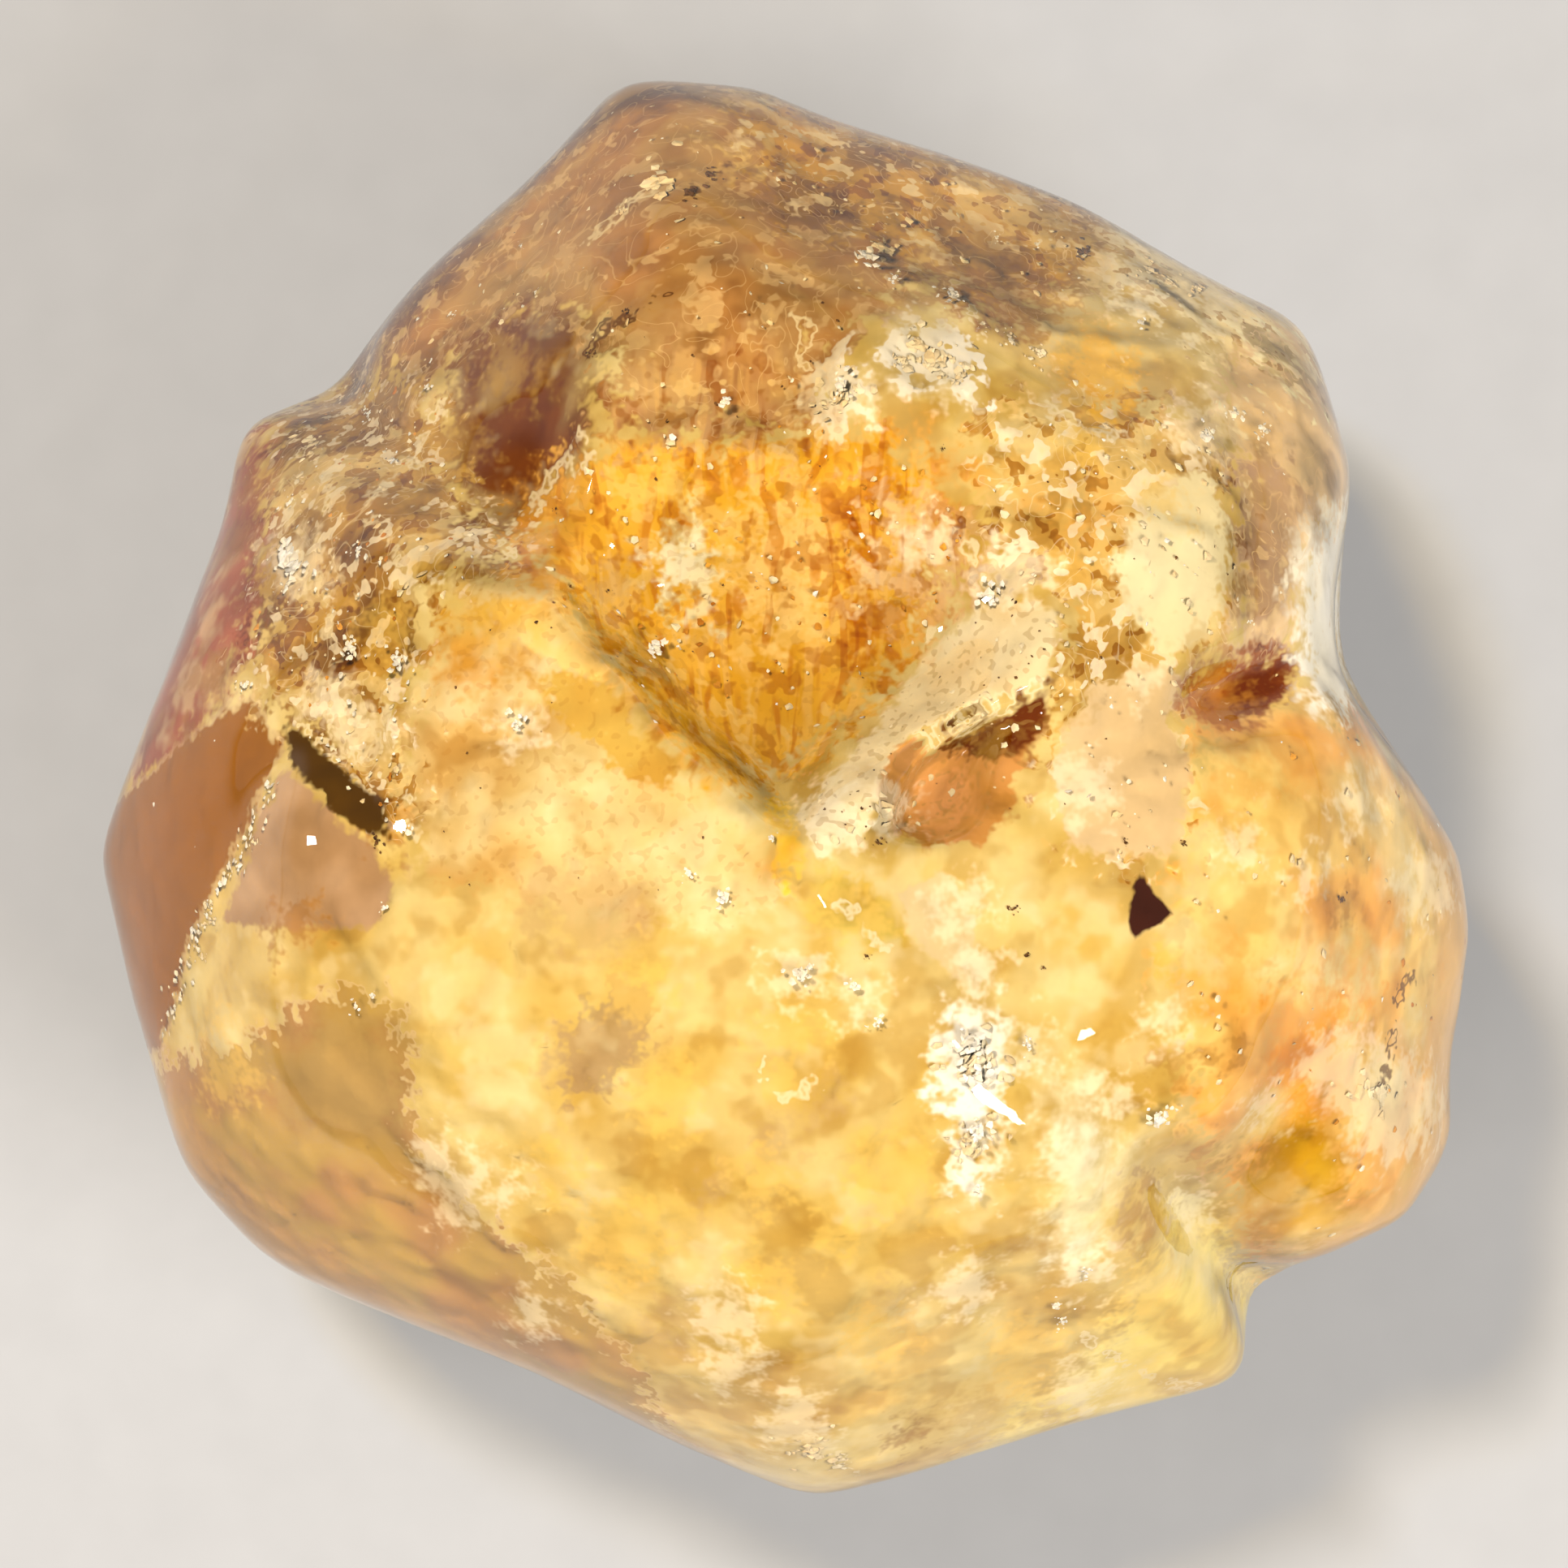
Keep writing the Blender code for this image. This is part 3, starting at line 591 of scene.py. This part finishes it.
# The cloud's surface: the stone's own, sunk unevenly under the polish and broken like crystal.
cloud_mesh = remeshed(stone_mesh, CLOUD_VOXEL, 4, subdivisions=1)
places = corners_of(cloud_mesh)
normals = normals_of(cloud_mesh)
crown = eased(places[:, 2], CROWN_START - 1.0, CROWN_START + 1.0)
depth = CLOUD_DEPTH + 0.10 * waves(places, 1.6) + 0.3 * np.maximum(waves(places, 3.1, 5.0), 0.0)
depth += 0.10 * splits(places, 1.5, 4) + 0.05 * splits(places, 0.6, 5)
for outline, *_, clear_by in ZONES.values():
    if clear_by:
        depth += crown * clear_by * eased(depth_inside(places, outline), -0.5, 1.1)
depth += (1.0 - crown) * 1.2 * np.maximum(waves(places, 4.0, 9.0), 0.0)
depth = np.maximum(depth, 0.10)
inward = places - np.array([0.0, 0.0, RIM_HEIGHT / MM])
inward /= np.linalg.norm(inward, axis=1)[:, None]
move_corners(cloud_mesh, places - (0.6 * normals + 0.4 * inward) * depth[:, None])
cloud_mesh = remeshed(cloud_mesh, CLOUD_VOXEL, 1)
places = corners_of(cloud_mesh)
places = places + normals_of(cloud_mesh) * (
    0.06 * splits(places, 0.8, 6) + 0.05 * waves(places, 0.5, 3.0))[:, None]
move_corners(cloud_mesh, places)
crown_reach = places[:, 2] - CROWN_START

cloud_finder = BVHTree.FromPolygons([v.co / MM for v in cloud_mesh.vertices],
                                    [list(p.vertices) for p in cloud_mesh.polygons])

# Each point of the cloud gets the place at which it is seen from above.
aimed, landed = [], []
for x in np.arange(-12.9, 12.9, LOOK_STEP):
    for y in np.arange(-13.4, 13.0, LOOK_STEP):
        place, way = looking_down(x, y)
        on_cloud = place and cloud_finder.ray_cast(place + way * SKIN_STEP, way)[0]
        if on_cloud:
            aimed.append((x, y))
            landed.append(on_cloud)
looks = kdtree.KDTree(len(landed))
for number, on_cloud in enumerate(landed):
    looks.insert(on_cloud, number)
looks.balance()
for number, place in enumerate(places):
    near = looks.find_n(place, 3)
    shares = [1.0 / (distance + 0.02) for _, _, distance in near]
    for axis in (0, 1):
        places[number, axis] = sum(
            share * aimed[which][axis] for share, (_, which, _) in zip(shares, near)) / sum(shares)

# How far each point lies inside each zone and spot, and how far from the veins, all in mm.
reaches = {"crown": eased(crown_reach, -0.5, 1.0)}
for name, veins in (("pale_veins", PALE_LINES_AND_GLINTS), ("dark_veins", DARK_VEINS)):
    reaches[name] = np.full(len(places), 3.0)
    for vein in veins:
        for start, end in zip(vein, vein[1:]):
            reaches[name] = np.minimum(reaches[name], from_line(places[:, :2], start, end))
for name, (outline, *_) in ZONES.items():
    reaches[name] = np.clip(np.minimum(depth_inside(places, outline), crown_reach), -3.0, 3.0)
for name, (_, _, _, spots) in SPOTS.items():
    reaches[name] = np.full(len(places), -3.0)
    for x, y, radius in spots:
        reaches[name] = np.maximum(reaches[name], radius - np.hypot(places[:, 0] - x, places[:, 1] - y))
    reaches[name] = np.minimum(reaches[name], crown_reach)

# They are kept three to a vector, because each attribute costs the render time at every hit.
reach_names = list(reaches)
threes = [reach_names[first:first + 3] for first in range(0, len(reach_names), 3)]
for names in threes:
    packed = np.stack([reaches[names[axis % len(names)]] for axis in range(3)], axis=1)
    kept = cloud_mesh.attributes.new("_".join(names), "FLOAT_VECTOR", "POINT")
    kept.data.foreach_set("vector", packed.astype(np.float32).ravel())

# Clouded grossular: bubbles and healed cracks scatter the light, so it is matt and milky. Its
# tints run from cream to rust where iron has crept in along the cracks.
cloud_material, tree = new_material("milky_grossular")
in_mm = add(tree, "VectorMath", {"operation": "SCALE"}, Vector=add(tree, "TexCoord").outputs["Object"],
            Scale=1.0 / MM).outputs["Vector"]


def mixed(tree, amount, first, second):
    """One colour turning into another by an amount from 0 to 1."""
    return add(tree, "MixRGB", Fac=amount, Color1=first, Color2=second).outputs["Color"]


def spread(tree, value, low, high, to_low=0.0, to_high=1.0):
    """The value eased from one range to another."""
    return add(tree, "MapRange", {"interpolation_type": "SMOOTHSTEP"}, in0=value, in1=low, in2=high,
               in3=to_low, in4=to_high).outputs["Result"]


def maths(tree, operation, first, second=0.0, third=0.0):
    """One sum of up to three numbers."""
    return add(tree, "Math", {"operation": operation}, in0=first, in1=second, in2=third).outputs["Value"]


# Patterns: mottle and drift vary the tint, grain makes the zones' edges wander, and the others are
# the veils, streaks, folds and chips of the healed cracks. Fine is for pits that are smaller in the
# real stone, drawn as coarse as they need to show.
mottle = add(tree, "TexNoise", Vector=in_mm, Scale=0.7, Detail=1.0, Roughness=0.62)
grain = add(tree, "TexNoise", Vector=in_mm, Scale=2.6, Detail=2.0, Roughness=0.7).outputs["Fac"]
drift = add(tree, "TexNoise", Vector=in_mm, Scale=0.25, Detail=0.0, Roughness=0.6).outputs["Fac"]
fine = add(tree, "TexNoise", Vector=in_mm, Scale=7.0, Detail=0.0, Roughness=0.5).outputs["Fac"]
wander = maths(tree, "MULTIPLY_ADD", grain, 5.0, -2.5)
blend = spread(tree, mottle.outputs["Fac"], 0.38, 0.62)
streak_place = add(tree, "Mapping", Vector=in_mm, Scale=(2.6, 0.55, 1.4)).outputs["Vector"]
streaks = add(tree, "TexNoise", Vector=streak_place, Scale=1.0, Detail=1.0, Roughness=0.65,
              Distortion=0.9).outputs["Fac"]
fold = add(tree, "TexNoise", Vector=in_mm, Scale=1.3, Detail=1.0, Roughness=0.6, Distortion=1.6)
ridge = maths(tree, "ABSOLUTE", maths(tree, "SUBTRACT", fold.outputs["Fac"], 0.5))
wisps = spread(tree, ridge, 0.0, 0.022, 0.38, 0.0)
clouds = add(tree, "TexNoise", Vector=in_mm, Scale=0.55, Detail=3.0, Roughness=0.66).outputs["Fac"]
chips = add(tree, "TexNoise", Vector=in_mm, Scale=1.9, Detail=2.0, Roughness=0.68).outputs["Fac"]
haze = add(tree, "TexNoise", Vector=in_mm, Scale=0.42, Detail=1.0, Roughness=0.5,
           Distortion=0.8).outputs["Fac"]

SPOT_WANDERING = 0.45   # mm
WANDERINGS = {name: zone[4] for name, zone in ZONES.items()} | dict.fromkeys(SPOTS, SPOT_WANDERING)
EDGES = {name: zone[3] for name, zone in ZONES.items()} | {name: spot[2] for name, spot in SPOTS.items()}
STRENGTHS = dict.fromkeys(ZONES, 1.0) | {name: spot[1] for name, spot in SPOTS.items()}
parts_of = add(tree, "SeparateXYZ", Vector=add(
    tree, "Attribute", {"attribute_name": "_".join(threes[0])}).outputs["Vector"])
crown, pale_and_glint_reach, dark_reach = parts_of.outputs
shown = {}
for names in threes[1:]:
    wandering = [WANDERINGS[names[axis % len(names)]] for axis in range(3)]
    edge = [EDGES[names[axis % len(names)]] for axis in range(3)]
    uneven = add(tree, "VectorMath", {"operation": "MULTIPLY_ADD"}, in0=wander, in1=wandering, in2=add(
        tree, "Attribute", {"attribute_name": "_".join(names)}).outputs["Vector"])
    masks = add(tree, "MapRange", {"interpolation_type": "SMOOTHSTEP", "data_type": "FLOAT_VECTOR"},
                in6=uneven.outputs["Vector"], in7=[-width for width in edge], in8=edge,
                in9=(0.0, 0.0, 0.0), in10=[STRENGTHS[names[axis % len(names)]] for axis in range(3)])
    shown.update(zip(names, add(tree, "SeparateXYZ", Vector=masks.outputs["Vector"]).outputs))

# Honey ground, redder in drifts below the crown, and the crown's zones over it.
colour = mixed(tree, blend, linear(HONEY), linear(HONEY_DEEP))
below = maths(tree, "SUBTRACT", 1.0, crown)
colour = mixed(tree, maths(tree, "MULTIPLY", below, spread(tree, drift, 0.42, 0.50)), colour,
               linear("cfa468"))
colour = mixed(tree, maths(tree, "MULTIPLY", below, spread(tree, drift, 0.55, 0.62)), colour,
               linear("dd9a40"))
LAID_LAST = ("rust_sliver", "dark_wedge")
zone_tints = {}
for name, (_, tint, second_tint, *_) in ZONES.items():
    zone_tints[name] = linear(tint)
    if second_tint != tint:
        zone_tints[name] = mixed(tree, blend, linear(tint), linear(second_tint))
    if name not in LAID_LAST:
        colour = mixed(tree, shown[name], colour, zone_tints[name])


def any_of(*names):
    """How far a point is in any of these zones."""
    amount = shown[names[0]]
    for name in names[1:]:
        amount = maths(tree, "MAXIMUM", amount, shown[name])
    return amount


def veined(colour, pattern, where, tint):
    """The colour with a pattern laid over it in one part of the stone."""
    return mixed(tree, maths(tree, "MULTIPLY", pattern, where), colour, linear(tint))


def stained(colour, pattern, where, tint):
    """The colour as it looks through a patterned stain in one part of the stone."""
    dulled = add(tree, "VectorMath", {"operation": "MULTIPLY"}, in0=colour, in1=linear(tint)[:3])
    return mixed(tree, maths(tree, "MULTIPLY", pattern, where), colour, dulled.outputs["Vector"])


# Kinds of ground: calm is smooth, glassy clear, basin streaky, crisp full of broken chips, and soft,
# which is all the rest, veiled.
laid_over = any_of("pale_lobe", "pale_stem", "cream_bar", "cavity", "speckled_tongue", "mauve_window")
elsewhere = maths(tree, "SUBTRACT", 1.0, laid_over)
calm = maths(tree, "MAXIMUM", laid_over, any_of(
    "tan_flank", "tan_shade", "rust_pocket", "olive_patch", "cream_facet", "cream_rim",
    "peach_rim", "lilac_rim", "white_streak", "gold_facet"))
glassy = any_of("brown_window", "clear_corner", "grey_glass")
basin = maths(tree, "MULTIPLY", elsewhere, any_of("orange_basin", "basin_sparkle", "blush_band"))
crisp = maths(tree, "MULTIPLY", elsewhere, any_of(
    "left_sparkle", "gold_window", "cream_shoulder", "right_cream"))
busy = maths(tree, "MAXIMUM", maths(tree, "MAXIMUM", crisp, basin), glassy)
soft = maths(tree, "SUBTRACT", 1.0, maths(tree, "MAXIMUM", busy, calm))

# Veils, streaks and chips that lighten each kind of ground, and stains that deepen it.
colour = veined(colour, spread(tree, haze, 0.50, 0.66, 0.0, 0.32), soft, "f6e29e")
colour = stained(colour, spread(tree, haze, 0.48, 0.36), soft, "f0e8d6")
colour = veined(colour, spread(tree, clouds, 0.51, 0.62, 0.0, 0.34), soft, "fae8b6")
colour = stained(colour, spread(tree, clouds, 0.48, 0.38), soft, "eae0cc")
colour = veined(colour, spread(tree, clouds, 0.51, 0.60, 0.0, 0.35), glassy, "dcb470")
colour = stained(colour, spread(tree, clouds, 0.47, 0.38), glassy, "dcd4cc")
colour = veined(colour, spread(tree, chips, 0.56, 0.61, 0.0, 0.45), glassy, "f0cc94")
colour = veined(colour, spread(tree, streaks, 0.48, 0.36, 0.0, 0.35), basin, "f0c070")
colour = stained(colour, spread(tree, streaks, 0.53, 0.64), basin, "e4c8a0")
colour = veined(colour, spread(tree, chips, 0.55, 0.62, 0.0, 0.30), basin, "f6d284")
colour = stained(colour, spread(tree, chips, 0.45, 0.38), basin, "e0ccac")
colour = veined(colour, spread(tree, clouds, 0.53, 0.56, 0.0, 0.50), crisp, "f8dc98")
colour = stained(colour, spread(tree, clouds, 0.46, 0.43), crisp, "d8ccac")
colour = veined(colour, spread(tree, chips, 0.575, 0.60, 0.0, 0.7), crisp, "feeccc")
colour = stained(colour, spread(tree, chips, 0.425, 0.405), crisp, "ccb07c")
for name in ("tan_flank", "olive_patch"):
    off_edge = maths(tree, "ABSOLUTE", maths(tree, "SUBTRACT", shown[name], 0.5))
    colour = veined(colour, spread(tree, off_edge, 0.5, 0.1, 0.0, 0.25), crown, "f8dcb0")
for name, (tint, *_) in SPOTS.items():
    colour = mixed(tree, shown[name], colour, linear(tint))
colour = veined(colour, wisps, glassy, "ecc890")
colour = veined(colour, wisps, crisp, "f8e0b0")
# Pale lines, some of them painted highlights, and dark veins drawn over the crown.
for reach, strength, tint in ((pale_and_glint_reach, 0.65, "fae6bc"), (dark_reach, 0.8, "5c300c")):
    uneven = maths(tree, "ABSOLUTE", maths(tree, "MULTIPLY_ADD", wander, 0.16, reach))
    width = maths(tree, "MULTIPLY_ADD", blend, 0.05, 0.05)
    line = add(tree, "MapRange", {"interpolation_type": "SMOOTHSTEP"}, in0=uneven, in1=0.01, in2=width,
               in3=strength, in4=0.0).outputs["Result"]
    colour = veined(colour, line, crown, tint)
colour = veined(colour, spread(tree, fine, 0.62, 0.68, 0.0, 0.35), any_of("speckled_tongue", "cavity"),
                "a88040")
colour = veined(colour, spread(tree, fine, 0.62, 0.68, 0.0, 0.2),
                any_of("pale_facet", "orange_basin", "left_sparkle"), "a86c20")
unevenness = maths(tree, "MULTIPLY_ADD", grain, 0.75, -0.40)
shade = maths(tree, "MULTIPLY_ADD", unevenness, maths(tree, "MULTIPLY_ADD", crisp, 0.6, 0.25), 1.0)
colour = add(tree, "VectorMath", {"operation": "SCALE"}, Vector=colour, Scale=shade).outputs["Vector"]
for name in LAID_LAST:
    colour = mixed(tree, shown[name], colour, zone_tints[name])
cloud = add(tree, "BsdfPrincipled", Base_Color=colour, Roughness=0.85, IOR=1.45,
            Specular_IOR_Level=0.0)
add(tree, "OutputMaterial", Surface=cloud.outputs["BSDF"])

milky_heart = new_object("milky_heart", cloud_mesh, cloud_material)
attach(milky_heart, "root")

# ---------------------------------------------------------------------------------------------
# Inclusions: flakes of white healed crack, whose white is partly painted glints of light, grains of cream
# calcite, rusty stain and dark diopside.
# They grew in the stone and lie on its cloudy heart or float between that and the polish.
# ---------------------------------------------------------------------------------------------

# Middles and radii in mm of the white flakes, most of them painted glints.
GLINT_FLAKE_SPOTS = [
    (-8.5, 3.8, 0.43), (-7.3, 6.5, 0.17), (-6.2, 6.9, 0.12), (-6.8, 5.6, 0.13), (-8.6, 4.9, 0.13),
    (-7.3, 4.0, 0.13), (-7.4, 2.3, 0.19), (-6.6, 2.1, 0.23), (-9.3, 1.7, 0.14), (-6.4, -0.8, 0.13),
    (-6.8, -2.1, 0.10), (-7.0, -3.6, 0.09), (-7.3, -3.8, 0.12), (2.9, 8.4, 0.22), (1.4, 9.1, 0.29),
    (1.9, 8.7, 0.14), (3.5, 3.2, 0.23), (0.3, -3.2, 0.26), (1.2, -3.4, 0.16), (1.6, -4.0, 0.13),
    (-1.0, -1.9, 0.19), (-1.6, -1.5, 0.12), (-4.5, 1.0, 0.20), (7.3, 6.0, 0.22), (7.8, 6.4, 0.17),
    (8.3, 6.1, 0.17), (6.4, -5.7, 0.25), (3.1, -4.4, 0.32), (3.2, -5.0, 0.29), (3.3, -5.9, 0.25),
    (3.3, -6.9, 0.14), (4.1, -4.4, 0.13), (-2.2, 2.3, 0.23), (-4.6, 9.4, 0.07), (-5.8, 8.2, 0.09),
    (-4.3, 8.5, 0.07), (3.7, 9.5, 0.09), (4.4, 9.4, 0.09), (6.2, 8.0, 0.13), (8.0, 2.8, 0.09),
    (-1.0, 6.5, 0.17), (1.0, 6.8, 0.23), (-0.2, -0.9, 0.09), (5.2, -8.4, 0.12), (4.7, -9.0, 0.14),
    (4.8, -9.3, 0.14)]
CREAM_SPOTS = [
    (-2.3, 10.4, 0.39), (-2.8, 9.9, 0.17), (2.3, 7.5, 0.38), (2.6, 7.3, 0.40), (3.0, 7.0, 0.29),
    (2.0, 7.2, 0.22), (6.4, 9.0, 0.29), (6.8, 8.8, 0.26), (7.3, 8.7, 0.22), (-8.3, 6.0, 0.29),
    (1.0, 6.6, 0.40), (3.9, 7.6, 0.20), (4.4, 7.4, 0.20), (3.4, 7.9, 0.13), (1.7, 9.2, 0.32),
    (-9.1, -1.0, 0.14), (-10.0, -2.1, 0.17), (-9.9, -2.4, 0.17), (-10.1, -3.0, 0.12),
    (1.8, -0.5, 0.32), (3.2, -4.7, 0.51), (3.2, -6.0, 0.36), (8.6, -8.6, 0.20), (9.0, -8.5, 0.20),
    (10.3, -5.4, 0.43), (0.5, -11.6, 0.36), (0.9, -11.9, 0.26)]
DARK_SPOTS = [
    (-3.3, 7.4, 0.12), (-2.7, 8.1, 0.10), (-1.6, 10.2, 0.22), (-1.3, 10.5, 0.16), (5.2, 9.3, 0.2),
    (-6.9, -1.0, 0.14), (1.4, -2.9, 0.07), (1.6, -1.0, 0.09), (3.9, -2.1, 0.09),
    (4.1, -2.9, 0.09), (6.8, -1.0, 0.09), (5.8, -1.0, 0.09), (9.6, -2.0, 0.14),
    (3.8, -2.1, 0.07), (4.4, -3.1, 0.07), (-3.9, 4.7, 0.07), (-3.0, 3.3, 0.06),
    (2.7, 5.7, 0.06)]
FLAKED_EDGE = [(-8.7, 0.1), (-9.2, -1.0), (-10.0, -2.2), (-10.9, -4.3)]

LOWEST_CHIP = 2.0       # height of the lowest inclusion, mm

rng = np.random.default_rng(11)


def under_polish(x, y, sunk=1.0):
    """A point of the stone that is seen at (x, y) from above, and which way the cloud faces there.
    Sunk is how far down it lies, from 0 at the polish to 1 on the cloudy heart."""
    place, way = looking_down(x, y)
    if place is None:
        return None, None
    on_cloud, facing, _, _ = cloud_finder.ray_cast(place + way * SKIN_STEP, way)
    if on_cloud is None or on_cloud.z < LOWEST_CHIP:
        return None, None
    return place.lerp(on_cloud, sunk), facing


class Splinters:
    """Gathers small closed chips into one mesh."""

    def __init__(self):
        self.corners, self.faces, self.tones = [], [], []

    def chip(self, place, facing, radius, thickness=0.25):
        """An uneven flat lens with five to nine corners."""
        facing = (facing + Vector(rng.normal(0.0, 0.35, 3))).normalized()
        across = facing.orthogonal().normalized()
        up = facing.cross(across)
        count, first, tone = int(rng.integers(5, 10)), len(self.corners), rng.random()
        for number in range(count):
            turn = math.tau * (number + rng.uniform(-0.3, 0.3)) / count
            reach = radius * rng.uniform(0.45, 1.0)
            self.corners.append(place + (across * math.cos(turn) + up * math.sin(turn)) * reach)
        self.corners += [place + facing * radius * thickness, place - facing * radius * thickness]
        top, bottom = first + count, first + count + 1
        for number in range(count):
            here, after = first + number, first + (number + 1) % count
            self.faces += [(here, after, top), (after, here, bottom)]
        self.tones += [tone] * (count + 2)

    def cluster(self, x, y, radius, sunk=0.93, ragged=1.0):
        """A patch of chips round one place, closed in its middle."""
        for _ in range(2 + int(6 * radius)):
            place, facing = under_polish(x + rng.normal(0.0, 0.15) * radius,
                                         y + rng.normal(0.0, 0.15) * radius, sunk)
            if place is not None:
                self.chip(place, facing, radius * rng.uniform(0.3, 0.5))
        for _ in range(6 + int(50 * radius)):
            away = abs(rng.normal(0.0, 0.55)) * radius * ragged
            turn = rng.uniform(0.0, math.tau)
            place, facing = under_polish(x + away * math.cos(turn), y + away * math.sin(turn), sunk)
            if place is not None:
                self.chip(place, facing, radius * rng.uniform(0.10, 0.35))

    def trail(self, path, radius, sunk=0.8):
        """A broken line of chips along a path seen from above."""
        for (x0, y0), (x1, y1) in zip(path, path[1:]):
            for _ in range(int(math.hypot(x1 - x0, y1 - y0) / radius * 2.0)):
                share, away = rng.random(), rng.normal(0.0, 0.9, 2) * radius
                place, facing = under_polish(x0 + (x1 - x0) * share + away[0],
                                             y0 + (y1 - y0) * share + away[1], sunk)
                if place is not None:
                    self.chip(place, facing, radius * rng.uniform(0.3, 1.0))

    def piece(self, name, material):
        """The gathered mesh as one piece of the stone."""
        mesh = bpy.data.meshes.new(name)
        mesh.from_pydata([tuple(corner * MM) for corner in self.corners], [], self.faces)
        store(mesh, "tone", np.array(self.tones))
        made = new_object(name, mesh, material)
        mesh.shade_flat()
        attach(made, "root")
        return made


def mineral(name, dark, light, roughness, ior):
    """A grainy mineral whose splinters run from one tint to another."""
    material, tree = new_material(name)
    tone = add(tree, "Attribute", {"attribute_name": "tone"}).outputs["Fac"]
    in_mm = add(tree, "VectorMath", {"operation": "SCALE"},
                Vector=add(tree, "TexCoord").outputs["Object"], Scale=1.0 / MM).outputs["Vector"]
    dust = add(tree, "TexNoise", Vector=in_mm, Scale=9.0, Detail=2.0).outputs["Fac"]
    amount = maths(tree, "MULTIPLY_ADD", dust, 0.5, maths(tree, "MULTIPLY_ADD", tone, 0.9, -0.2))
    surface = add(tree, "BsdfPrincipled", Base_Color=mixed(tree, amount, linear(dark), linear(light)),
                  Roughness=roughness, IOR=ior)
    add(tree, "OutputMaterial", Surface=surface.outputs["BSDF"])
    return material


def somewhere_in(outline):
    """A random point inside a zone or an outline, in mm."""
    outline = ZONES[outline][0] if isinstance(outline, str) else outline
    corners = np.array(outline)
    while True:
        x, y = rng.uniform(corners.min(axis=0), corners.max(axis=0))
        if depth_inside(np.array([[x, y, 0.0]]), outline)[0] > 0.0:
            return x, y


def scattered(splinters, zone, count, smallest, largest, sunk=(0.85, 1.0)):
    """Single chips here and there in a zone."""
    for _ in range(count):
        place, facing = under_polish(*somewhere_in(zone), rng.uniform(*sunk))
        if place is not None:
            splinters.chip(place, facing, smallest * (largest / smallest) ** rng.random())


# Healed cracks are full of tiny bubbles and show white; these flakes are also painted glints, their white
# standing in for light caught by the cracks.
white = Splinters()
for x, y, radius in GLINT_FLAKE_SPOTS:
    white.cluster(x, y, radius * 1.2, sunk=0.5)
for zone, count in (("left_sparkle", 90), ("brown_window", 50), ("orange_basin", 30), ("right_cream", 40),
                    ("olive_patch", 6), ("clear_corner", 16), ("peach_lobe", 24)):
    scattered(white, zone, count, 0.02, 0.08, (0.5, 1.0))
white.trail(FLAKED_EDGE, 0.10)
white.piece("healed_crack_flakes", mineral("bubbly_healed_crack", "fdebc8", "fffaf2", 0.5, 1.5))

# Calcite: cream and waxy.
cream = Splinters()
for x, y, radius in CREAM_SPOTS:
    cream.cluster(x, y, radius, ragged=1.3)
for zone, count in (("left_sparkle", 60), ("brown_window", 60), ("gold_window", 40), ("orange_basin", 60),
                    ("right_cream", 60), ("peach_lobe", 60), ("speckled_tongue", 20), ("cavity", 10)):
    scattered(cream, zone, count, 0.03, 0.12)
cream.piece("calcite_grains", mineral("cream_calcite", "f2d29c", "fdecc6", 0.55, 1.49))

# Iron-stained grains: rust to gold.
rust = Splinters()
scattered(rust, "orange_basin", 50, 0.03, 0.10)
scattered(rust, "peach_lobe", 16, 0.03, 0.10)
scattered(rust, "left_sparkle", 40, 0.03, 0.10)
rust.piece("iron_stained_grains", mineral("iron_stained_grain", "b86c10", "f4ac3c", 0.6, 1.6))

# Diopside: dark brown-green grains.
dark = Splinters()
for x, y, radius in DARK_SPOTS:
    dark.cluster(x, y, radius)
for zone, count in (("speckled_tongue", 30), ("pale_facet", 16), ("left_sparkle", 16), ("cavity", 6),
                    ("orange_basin", 16), ("right_cream", 10), ("brown_window", 20)):
    scattered(dark, zone, count, 0.015, 0.045)
dark.piece("diopside_specks", mineral("dark_diopside", "3c2410", "80562a", 0.4, 1.68))
